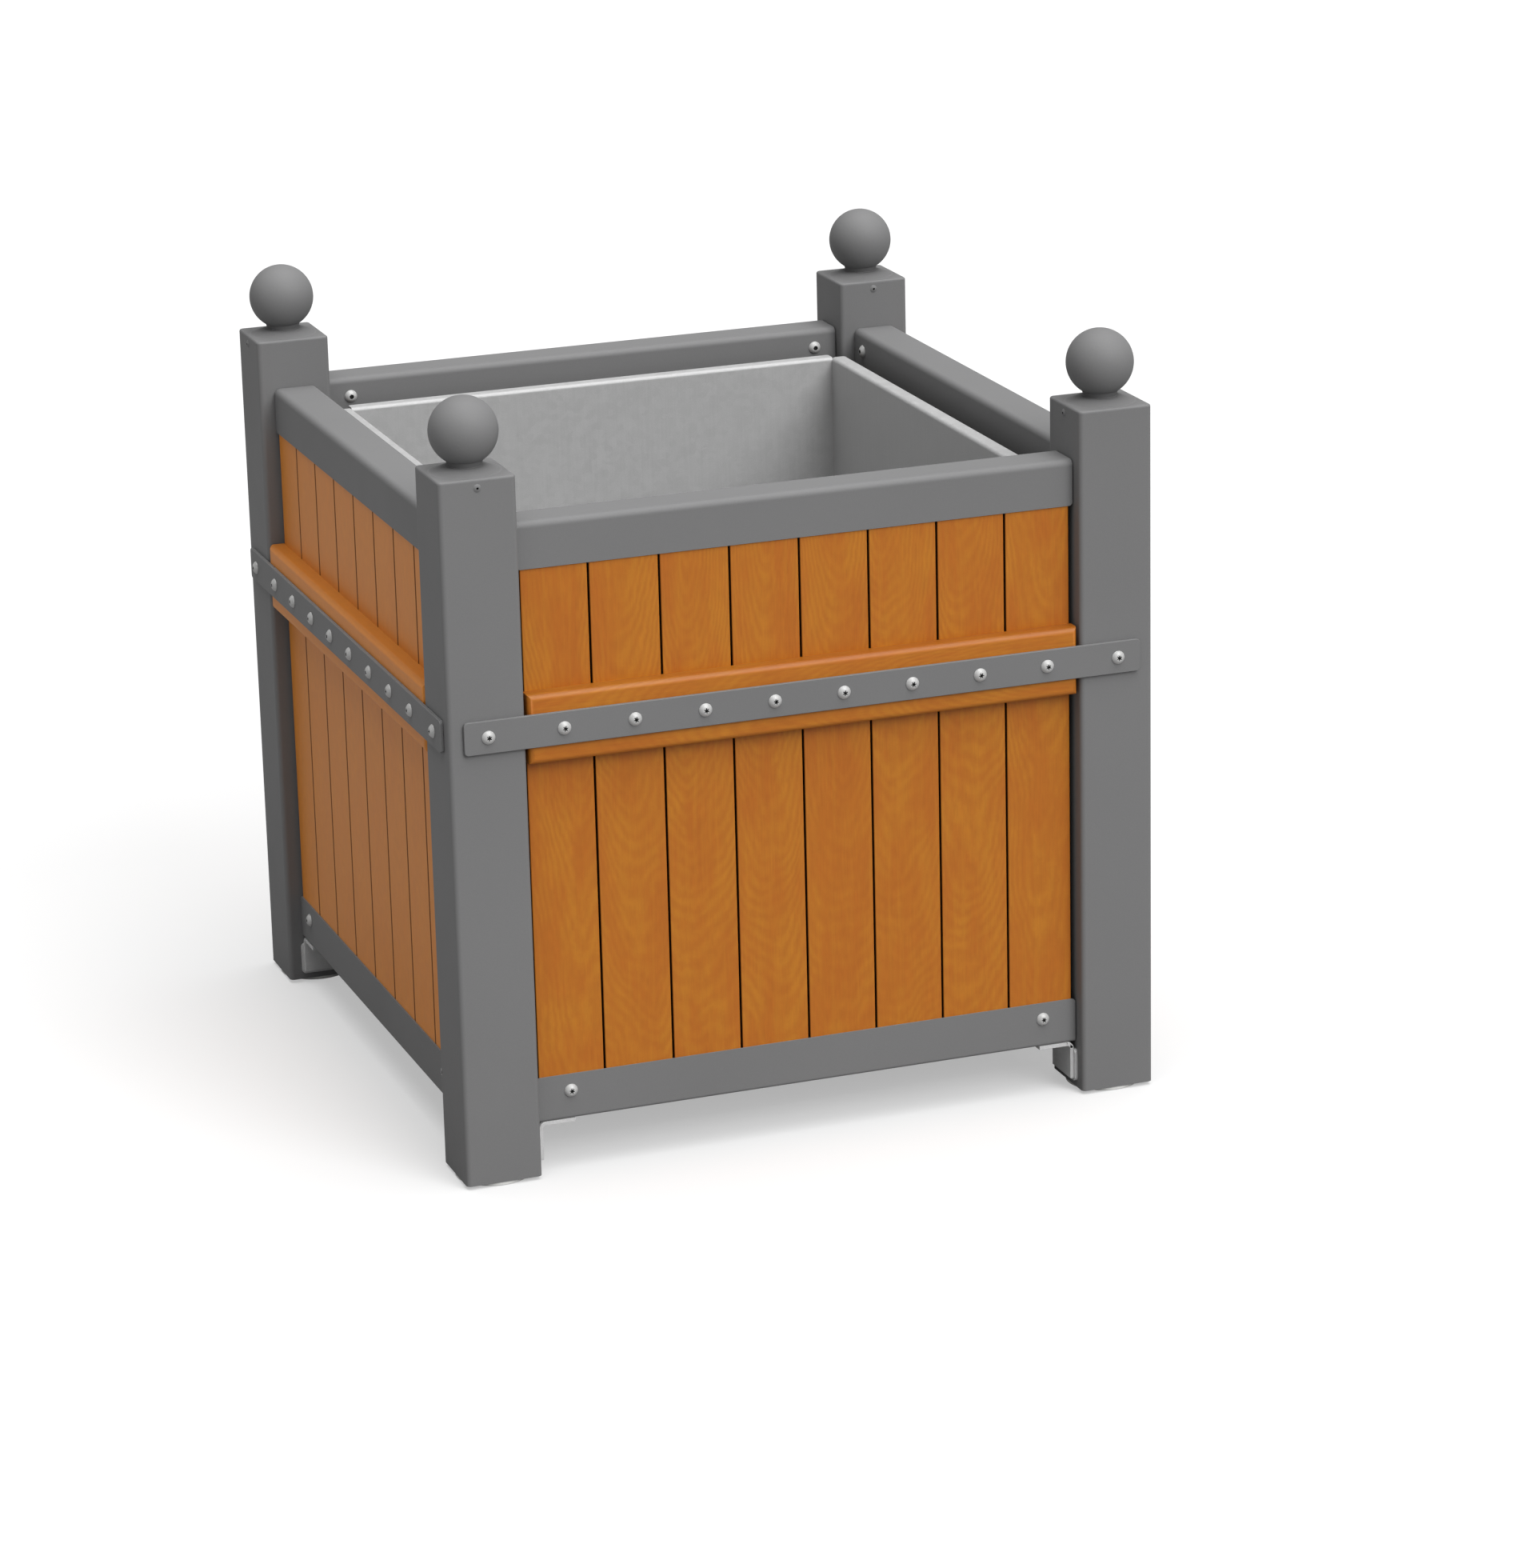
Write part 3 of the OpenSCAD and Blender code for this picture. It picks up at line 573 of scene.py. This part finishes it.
# %% A block of timber
EASE = 1.4 * MM
EASE_STEPS = 3
# How much painted light each side gets, which also spreads the joints' painted shade over the
# eased edges
LIGHT_BY_SIDE = {"front": 0.0, "right": 0.3, "back": 0.6, "left": 1.0}
# The share of the joints' painted shade that the eased edges get
EDGE_SHADE = 0.8
log = random.Random(11)


def block(size):
    """A cube scaled to a size in metres."""
    bm = bmesh.new()
    bmesh.ops.create_cube(bm, size=1)
    bmesh.ops.scale(bm, vec=size, verts=bm.verts)
    return bm


def eased(bm, edges, radius, steps):
    """Rounds some edges to a radius."""
    bmesh.ops.bevel(bm, geom=edges, offset=radius, segments=steps, profile=0.5,
                    affect="EDGES", material=-1)


def shade_joints(bm, half, side):
    """Marks the two faces of a board in its joints for painted shade, and their eased edges on a
    side with painted light.
    """
    painted_shade = bm.verts.layers.float.new(SHADE_ATTRIBUTE)
    for vert in bm.verts:
        inset = half - abs(vert.co.x)
        if inset < MERGE:
            vert[painted_shade] = 1
        elif inset < EASE - MERGE:
            vert[painted_shade] = EDGE_SHADE * LIGHT_BY_SIDE[side]


def keep_grain(bm, along, side):
    """Stores each point's place on its piece, across, deep and along, the cut and the side's
    painted light.
    """
    place = bm.verts.layers.float_vector.new(GRAIN)
    number = bm.verts.layers.float.new(CUT)
    side_light = bm.verts.layers.float.new(SIDE_LIGHT)
    drawn = log.uniform(1, 99)
    for vert in bm.verts:
        x, y, z = vert.co
        vert[place] = (x, y, z) if along == "z" else (z, y, x)
        vert[number] = drawn
        vert[side_light] = LIGHT_BY_SIDE[side]


# %% Thirty-two boards
for side, turn in TURNS.items():
    for number, (low, high) in enumerate(solids("boards_front"), 1):
        bm = block(high - low)
        eased(bm, bm.edges[:], EASE, EASE_STEPS)
        keep_grain(bm, "z", side)
        shade_joints(bm, (high.x - low.x) / 2, side)
        bmesh.ops.translate(bm, vec=(low + high) / 2, verts=bm.verts)
        piece(bm, f"board_{side}_{number}", "stained_timber", f"boards_{side}", turn=turn)
print("boards:", len(solids("boards_front")), "to a side, corners eased", EASE / MM, "mm")

# %% [markdown]
# ## The battens
# A batten lies across the boards, under the band. Its front edges have been run over a router,
# which leaves a round 7.5 mm in radius, and at its ends too. Only the four edges of the front
# face get the round. The back edges stay sharp, because they lie against the boards.

# %% Four battens
ROUTER = 7.5 * MM
ROUTER_STEPS = 8

for side, turn in TURNS.items():
    low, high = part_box("batten_front")
    bm = block(high - low)
    front = min(vert.co.y for vert in bm.verts)
    at_front = [edge for edge in bm.edges if all(vert.co.y == front for vert in edge.verts)]
    eased(bm, at_front, ROUTER, ROUTER_STEPS)
    keep_grain(bm, "x", side)
    bmesh.ops.translate(bm, vec=(low + high) / 2, verts=bm.verts)
    piece(bm, f"batten_{side}_routed", "stained_timber", f"batten_{side}", turn=turn)
print("battens: routed", ROUTER / MM, "mm")

# %% [markdown]
# ## The bands
# The flat steel bands were sawn from bar, their corners rounded on a grinder and their edges
# broken before painting. Two bevels follow the same order: first the four short edges through
# the thickness, then every edge that is left.

# %% Four bands
BAND_CORNER = 5 * MM
BAND_CORNER_STEPS = 6
BAND_EASE = 0.9 * MM
BAND_EASE_STEPS = 3


def runs_through(edge):
    """Whether an edge runs through the thickness of a band."""
    return abs(edge.verts[0].co.y - edge.verts[1].co.y) > MERGE


for side, turn in TURNS.items():
    low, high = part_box("band_front")
    bm = block(high - low)
    short = [edge for edge in bm.edges if runs_through(edge)]
    eased(bm, short, BAND_CORNER, BAND_CORNER_STEPS)
    sharp = [edge for edge in bm.edges if not runs_through(edge)]
    eased(bm, sharp, BAND_EASE, BAND_EASE_STEPS)
    bmesh.ops.translate(bm, vec=(low + high) / 2, verts=bm.verts)
    piece(bm, f"band_{side}_eased", "painted_steel", f"band_{side}", turn=turn)
print("bands: corners", BAND_CORNER / MM, "mm, edges", BAND_EASE / MM, "mm")

# %% [markdown]
# ## The bolts
# The bands and bottom rails are held by button head bolts with a six-lobed socket, and the top
# rails by the same heads with a hexagon socket. A head is a body of revolution, so its outline
# is spun. The outline stops at the edge of the socket, which leaves a ring open. That ring is
# extruded inwards to the shape of the key, then down, and filled. The thread at the far end is
# grooves in the outline: a true helix would cost many faces and nobody could tell.

# %% Bodies of revolution
def arc(middle, radius, start, end, steps):
    """Points on an arc, as pairs of a radius and a height. Angles are in degrees."""
    angles = [math.radians(start + (end - start) * i / steps) for i in range(steps + 1)]
    return [(middle[0] + radius * math.cos(a), middle[1] + radius * math.sin(a)) for a in angles]


def threaded(radius, top, foot, pitch, depth):
    """The outline of a thread, as ridges and grooves from the top down."""
    outline = []
    count = round((top - foot) / pitch)
    for i in range(count):
        height = top - i * (top - foot) / count
        outline += [(radius, height), (radius - depth, height - (top - foot) / count / 2)]
    return outline + [(radius - depth, foot)]


def spun(outline, steps):
    """An outline spun once round the upright axis."""
    bm = bmesh.new()
    verts = [bm.verts.new((radius, 0, height)) for radius, height in outline]
    edges = [bm.edges.new(pair) for pair in zip(verts, verts[1:])]
    bmesh.ops.spin(bm, geom=verts + edges, cent=(0, 0, 0), axis=(0, 0, 1),
                   angle=2 * math.pi, steps=steps, use_merge=True)
    bmesh.ops.remove_doubles(bm, verts=bm.verts, dist=MERGE)
    return bm


# %% Sockets
LOBES = 6
STAR_MEAN = 2.7 * MM
STAR_WAVE = 1.0 * MM
HEXAGON_FLAT = 3.0 * MM
SOCKET_DEPTH = 3.2 * MM
SOCKET_LIP = 0.4 * MM


def star(angle):
    """The six-lobed socket's outline."""
    return STAR_MEAN + STAR_WAVE * math.cos(LOBES * angle)


def hexagon(angle):
    """The hexagon socket's outline."""
    sixth = math.pi / 3
    return HEXAGON_FLAT / math.cos(angle % sixth - sixth / 2)


def extruded(bm, edges):
    """The edges and points that extruding a ring of edges makes."""
    made = bmesh.ops.extrude_edge_only(bm, edges=edges)["geom"]
    return ([item for item in made if isinstance(item, bmesh.types.BMEdge)],
            [item for item in made if isinstance(item, bmesh.types.BMVert)])


def cut_socket(bm, shape):
    """Closes the open ring of a bolt's head with a socket of a shape."""
    ring, points = extruded(bm, [edge for edge in bm.edges if edge.is_boundary])
    for point in points:
        angle = math.atan2(point.co.y, point.co.x)
        point.co.x = shape(angle) * math.cos(angle)
        point.co.y = shape(angle) * math.sin(angle)
    # The socket's walls and floor are marked for painted shade
    painted_shade = bm.verts.layers.float.new(SHADE_ATTRIBUTE)
    for depth in (SOCKET_LIP, SOCKET_DEPTH - SOCKET_LIP):
        ring, points = extruded(bm, ring)
        bmesh.ops.translate(bm, vec=(0, 0, -depth), verts=points)
        for point in points:
            point[painted_shade] = 1
    bottom = bmesh.ops.contextual_create(bm, geom=ring)["faces"]
    bmesh.ops.poke(bm, faces=bottom)["verts"][0][painted_shade] = 1


# %% One bolt
HEAD_HEIGHT = 5 * MM
HEAD_RADIUS = 8.75 * MM
HEAD_FLAT = 4 * MM
HEAD_RIM = 0.7 * MM
HEAD_STEPS = 7
SHANK_RADIUS = 5 * MM
THREAD_PITCH = 1.5 * MM
THREAD_DEPTH = 0.8 * MM
THREAD_LENGTH = 15 * MM
TIP_CHAMFER = 1 * MM
BOLT_STEPS = 48


def bolt(length, shape):
    """A button head bolt with its head up, seated at zero height."""
    rise = HEAD_HEIGHT - HEAD_RIM
    sink = (HEAD_RADIUS ** 2 - HEAD_FLAT ** 2 - rise ** 2) / (2 * rise)
    ball = math.hypot(HEAD_RADIUS, sink)
    start = math.degrees(math.atan2(sink + rise, HEAD_FLAT))
    end = math.degrees(math.atan2(sink, HEAD_RADIUS))
    foot = HEAD_HEIGHT - length
    thread_top = min(foot + THREAD_LENGTH, -TIP_CHAMFER)
    outline = arc((0, HEAD_RIM - sink), ball, start, end, HEAD_STEPS)
    outline += [(HEAD_RADIUS, HEAD_RIM / 3), (HEAD_RADIUS - HEAD_RIM / 3, 0), (SHANK_RADIUS, 0)]
    outline += threaded(SHANK_RADIUS, thread_top, foot + TIP_CHAMFER, THREAD_PITCH,
                        THREAD_DEPTH)
    outline += [(SHANK_RADIUS - TIP_CHAMFER, foot), (0, foot)]
    bm = spun(outline, BOLT_STEPS)
    cut_socket(bm, shape)
    return bm


# %% [markdown]
# Every bolt is made with its head up and then laid down, so that its head points away from the
# planter, or inwards for the top rails. All bolts of a node are joined in one mesh, because
# they are one piece in the frame. Each is also turned about its own axis by a chance angle:
# nobody stops a driver at the same place twice.

# %% Laying fasteners down
spanner = random.Random(3)
PLANTER_AXIS = Vector((0, 0, 0))


def away_from(centre, box):
    """The direction, along x or y, in which a box lies from a centre."""
    away = (box[0] + box[1]) / 2 - centre
    if abs(away.x) > abs(away.y):
        return Vector((math.copysign(1, away.x), 0, 0))
    return Vector((0, math.copysign(1, away.y), 0))


def lay(bm, box, towards):
    """Lays an upright fastener down in its box, with its head at the side it points to."""
    top = max(vert.co.z for vert in bm.verts)
    half = abs((box[1] - box[0]).dot(towards)) / 2
    place = Matrix.Translation((box[0] + box[1]) / 2 + towards * (half - top))
    turned = towards.to_track_quat("Z", "Y").to_matrix().to_4x4()
    chance = Matrix.Rotation(spanner.uniform(0, 2 * math.pi), 4, "Z")
    bmesh.ops.transform(bm, matrix=place @ turned @ chance, verts=bm.verts)


def add_to(whole, part):
    """Adds one bmesh to another."""
    mesh = bpy.data.meshes.new("part")
    part.to_mesh(mesh)
    part.free()
    whole.from_mesh(mesh)
    bpy.data.meshes.remove(mesh)


def bolts(name, shape, inwards=False):
    """A bolt in each box of a node."""
    whole = bmesh.new()
    for box in solids(name):
        towards = away_from(PLANTER_AXIS, box) * (-1 if inwards else 1)
        bm = bolt(abs((box[1] - box[0]).dot(towards)), shape)
        lay(bm, box, towards)
        add_to(whole, bm)
    return whole


for side in TURNS:
    piece(bolts(f"band_bolts_{side}", star), f"band_bolts_{side}_star", "zinc_fasteners",
          f"band_bolts_{side}")
piece(bolts("bottom_rail_bolts", star), "bottom_rail_bolts_star", "zinc_fasteners",
      "bottom_rail_bolts")
piece(bolts("top_rail_bolts", hexagon, True), "top_rail_bolts_hexagon", "zinc_fasteners",
      "top_rail_bolts")
print("bolts made, each", round(HEAD_RADIUS * 2 / MM, 1), "mm across the head")

# %% [markdown]
# ## The rivets
# A blind rivet holds each cap through the wall of its post. Its head is a low dome with a hole,
# where the pin snapped off inside. It was set before the frame was painted, so it is grey too.

# %% Rivets
RIVET_HEAD = 5.25 * MM
RIVET_HEIGHT = 1.8 * MM
RIVET_BODY = 2.4 * MM
RIVET_HOLE = 1.4 * MM
RIVET_LIP = 0.3 * MM
RIVET_LIP_DROP = 0.35 * MM
RIVET_PIN_DEPTH = 2.2 * MM
RIVET_PIN_POINT = 0.4 * MM
RIVET_DOME_STEPS = 6
RIVET_STEPS = 28


def rivet(length):
    """A blind rivet with its head up, seated at zero height."""
    dome = (RIVET_HEAD ** 2 + RIVET_HEIGHT ** 2) / (2 * RIVET_HEIGHT)
    start = 90 - math.degrees(math.asin((RIVET_HOLE + RIVET_LIP) / dome))
    end = 90 - math.degrees(math.asin(RIVET_HEAD / dome))
    outline = [(0, -RIVET_PIN_DEPTH), (RIVET_HOLE, RIVET_PIN_POINT - RIVET_PIN_DEPTH),
               (RIVET_HOLE, RIVET_HEIGHT - RIVET_LIP_DROP)]
    outline += arc((0, RIVET_HEIGHT - dome), dome, start, end, RIVET_DOME_STEPS)
    outline += [(RIVET_BODY, 0), (RIVET_BODY, RIVET_HEIGHT - length), (0, RIVET_HEIGHT - length)]
    bm = spun(outline, RIVET_STEPS)
    # The pin hole is marked for painted shade, so it is painted nearly black
    painted_shade = bm.verts.layers.float.new(SHADE_ATTRIBUTE)
    for vert in bm.verts:
        vert[painted_shade] = vert.co.xy.length < RIVET_HOLE + MERGE and vert.co.z < RIVET_HEIGHT
    return bm


POSTS = [sum(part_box(f"post_{corner}"), Vector()) / 2 for corner in CORNERS]
whole = bmesh.new()
for box in solids("cap_rivets"):
    nearest = min(POSTS, key=lambda post: (post - box[0]).xy.length)
    towards = away_from(nearest, box)
    bm = rivet(abs((box[1] - box[0]).dot(towards)))
    lay(bm, box, towards)
    add_to(whole, bm)
piece(whole, "cap_rivets_domed", "painted_steel", "cap_rivets")
print("rivets:", len(solids("cap_rivets")))

# %% [markdown]
# ## The nuts
# A nut is a hexagon bar whose corners are turned off at both faces. Spinning an outline in six
# steps gives the hexagon, and the slanted ends of the outline are the chamfers.

# %% Nuts
FLATS = 6
NUT_CHAMFER = 0.9 * MM
NUT_BORES = {
    "band_nuts": 5 * MM,
    "bottom_rail_nuts": 5 * MM,
    "bracket_nuts": 4 * MM,
    "finial_nuts": 6 * MM,
}
UPRIGHT = ("bracket_nuts", "finial_nuts")


def to_corner(across):
    """How far a hexagon's corners are from its middle, from the width across its flats."""
    return across / 2 / math.cos(math.pi / FLATS)


def nut(across, bore, height):
    """A nut across its flats, in the middle of its height."""
    corner = to_corner(across)
    half = height / 2
    outline = [(bore, -half), (corner - NUT_CHAMFER, -half), (corner, NUT_CHAMFER / 2 - half),
               (corner, half - NUT_CHAMFER / 2), (corner - NUT_CHAMFER, half), (bore, half),
               (bore, -half)]
    return spun(outline, FLATS)


for name, bore in NUT_BORES.items():
    whole = bmesh.new()
    for box in solids(name):
        towards = Vector((0, 0, 1)) if name in UPRIGHT else away_from(PLANTER_AXIS, box)
        size = box[1] - box[0]
        across = min(size[i] for i in range(3) if not towards[i])
        bm = nut(across, bore, abs(size.dot(towards)))
        lay(bm, box, towards)
        add_to(whole, bm)
    piece(whole, f"{name}_chamfered", "zinc_fasteners", name)
print("nuts:", ", ".join(NUT_BORES))

# %% [markdown]
# ## The bolts under the brackets
# A hexagon bolt goes up through each bracket into its nut. Its head is forged from the round and
# its top face turned off at the corners, as the nut's are. Two spun outlines make it: six steps
# for the head, and many for the threaded shank.

# %% Hexagon bolts
HEXAGON_HEAD = 5.3 * MM
HEXAGON_SHANK = 4 * MM
SHANK_IN_HEAD = 1 * MM


def hexagon_bolt(across, length):
    """A hexagon bolt with its head up, seated at zero height."""
    corner = to_corner(across)
    whole = spun([(0, HEXAGON_HEAD), (corner - NUT_CHAMFER, HEXAGON_HEAD),
                  (corner, HEXAGON_HEAD - NUT_CHAMFER / 2), (corner, 0), (0, 0)], FLATS)
    foot = HEXAGON_HEAD - length
    outline = [(HEXAGON_SHANK, SHANK_IN_HEAD)]
    outline += threaded(HEXAGON_SHANK, 0, foot + TIP_CHAMFER, THREAD_PITCH, THREAD_DEPTH)
    outline += [(HEXAGON_SHANK - TIP_CHAMFER, foot), (0, foot)]
    add_to(whole, spun(outline, BOLT_STEPS // 2))
    return whole


whole = bmesh.new()
for box in solids("bracket_bolts"):
    size = box[1] - box[0]
    bm = hexagon_bolt(min(size.x, size.y), size.z)
    lay(bm, box, Vector((0, 0, -1)))
    add_to(whole, bm)
piece(whole, "bracket_bolts_hexagon", "zinc_fasteners", "bracket_bolts")
print("bracket bolts:", len(solids("bracket_bolts")))

# %% [markdown]
# ## Broken edges
# The galvanised angles, plates and cleats are cut from bar and deburred before they go in the
# zinc, which rounds their edges further. They are so plain that their own solids do: a modifier
# merges each mesh and takes its sharp edges off, and leaves the wide bends as they are.

# %% The angles, plates and cleats
BROKEN = 0.5 * MM
BROKEN_STEPS = 2
SHARP_ABOVE = math.radians(50)

for name in ("corner_brackets", "backing_plates", "rail_cleats"):
    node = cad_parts[name]
    # These parts get the paler zinc, a painted light in the shade under the rails
    node.material_slots[0].material = galvanised_lit
    merged = node.modifiers.new("merged", "WELD")
    merged.merge_threshold = MERGE
    broken = node.modifiers.new("broken_edges", "BEVEL")
    broken.width = BROKEN
    broken.segments = BROKEN_STEPS
    broken.limit_method = "ANGLE"
    broken.angle_limit = SHARP_ABOVE
    print(name + ": edges broken", BROKEN / MM, "mm")

# %% [markdown]
# ## The finials
# A finial is a steel ball on a short turned neck. The neck's foot spreads over the cap in a low
# flare that runs out to nothing, so that rain runs off it, and a stud goes from it down through
# the cap to a nut. The whole of it is one spun outline. The flare is a smooth step, which starts
# and ends level, so it melts into the cap. The neck is painted a little darker, a painted shade
# under the ball, which the same attribute marks.

# %% Four finials
BALL_STEPS = 64
BALL_ARC_STEPS = 40
BALL_ARC_START = 1.5
NECK_FOOT = 21.5 * MM
NECK_TOP = 23 * MM
STUD_RADIUS = 6 * MM
STUD_CHAMFER = 1 * MM
FILLET = 1 * MM
FILLET_STEPS = 4
FLARE_RADIUS = 46 * MM
FLARE_RISE = 6.5 * MM
FLARE_EDGE = 0.05 * MM
FLARE_STEPS = 14
# How dark the neck is painted, a painted shade under the ball
NECK_SHADE = 0.3


def flare():
    """The outline of the flare, from its edge on the cap up to the neck."""
    outline = []
    for step in range(FLARE_STEPS + 1):
        share = step / FLARE_STEPS
        smooth = share * share * (3 - 2 * share)
        outline.append((FLARE_RADIUS + (NECK_FOOT + FILLET - FLARE_RADIUS) * share,
                        FLARE_EDGE + (FLARE_RISE - FLARE_EDGE) * smooth))
    return outline


for corner in CORNERS:
    low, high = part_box(f"finial_{corner}")
    cap_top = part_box(f"cap_{corner}")[1].z
    ball_radius = (high.x - low.x) / 2
    middle_height = high.z - cap_top - ball_radius
    meet = -math.degrees(math.acos(NECK_TOP / ball_radius))
    meet_height = middle_height + ball_radius * math.sin(math.radians(meet))
    foot = low.z - cap_top
    outline = [(0, foot), (STUD_RADIUS - STUD_CHAMFER, foot), (STUD_RADIUS, foot + STUD_CHAMFER)]
    outline += [(STUD_RADIUS, 0), (FLARE_RADIUS, 0)] + flare()
    outline += arc((NECK_FOOT + FILLET, FLARE_RISE + FILLET), FILLET, 270, 180, FILLET_STEPS)
    outline += [(NECK_TOP, meet_height)]
    outline += arc((0, middle_height), ball_radius, meet + BALL_ARC_START, 90, BALL_ARC_STEPS)
    bm = spun(outline, BALL_STEPS)
    # The neck is marked for a little painted shade under the ball
    painted_shade = bm.verts.layers.float.new(SHADE_ATTRIBUTE)
    for vert in bm.verts:
        on_neck = FLARE_RISE < vert.co.z < meet_height + MERGE
        vert[painted_shade] = NECK_SHADE if on_neck else 0
    middle = (low + high) / 2
    bmesh.ops.translate(bm, vec=(middle.x, middle.y, cap_top), verts=bm.verts)
    piece(bm, f"finial_{corner}_turned", "painted_steel", f"finial_{corner}")
print("finials: ball", round(ball_radius * 2 / MM, 1), "mm")

# %% [markdown]
# ## The feet
# Under each post a round pad stands on the floor, on a threaded spindle that levels the planter.
# The pad is a moulding with rounded edges, and the spindle is threaded from end to end. Both
# ride on the foot's own body, because they go down together when the spindle is turned.

# %% Four feet
PAD_ROUND = 1.4 * MM
PAD_ROUND_STEPS = 5
SPINDLE_PLAY = 0.3 * MM
SPINDLE_PITCH = 1.75 * MM
SPINDLE_DEPTH = 0.9 * MM
SPINDLE_NOSE = 1.5 * MM

for corner in CORNERS:
    low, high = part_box(f"foot_pad_{corner}")
    middle = (low + high) / 2
    radius = (high.x - low.x) / 2
    thick = high.z - low.z
    spindle_low, spindle_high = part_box(f"foot_spindle_{corner}")
    spindle_radius = (spindle_high.x - spindle_low.x) / 2
    bore = spindle_radius + SPINDLE_PLAY
    seat = spindle_low.z
    outline = [(0, seat), (bore, seat), (bore, thick)]
    rim = radius - PAD_ROUND
    outline += arc((rim, thick - PAD_ROUND), PAD_ROUND, 90, 0, PAD_ROUND_STEPS)
    outline += arc((rim, PAD_ROUND), PAD_ROUND, 0, -90, PAD_ROUND_STEPS)
    outline += [(0, 0)]
    bm = spun(outline, BALL_STEPS)
    bmesh.ops.translate(bm, vec=(middle.x, middle.y, 0), verts=bm.verts)
    piece(bm, f"foot_pad_{corner}_moulded", "pad_plastic", f"foot_pad_{corner}",
          body=f"foot_{corner}")
    top = spindle_high.z
    outline = [(0, top), (spindle_radius - SPINDLE_NOSE, top)]
    outline += threaded(spindle_radius, top - SPINDLE_NOSE, seat, SPINDLE_PITCH, SPINDLE_DEPTH)
    outline += [(0, seat)]
    bm = spun(outline, BOLT_STEPS)
    bmesh.ops.translate(bm, vec=(middle.x, middle.y, 0), verts=bm.verts)
    piece(bm, f"foot_spindle_{corner}_threaded", "zinc_fasteners", f"foot_spindle_{corner}",
          body=f"foot_{corner}")
print("feet: four pads and four spindles")
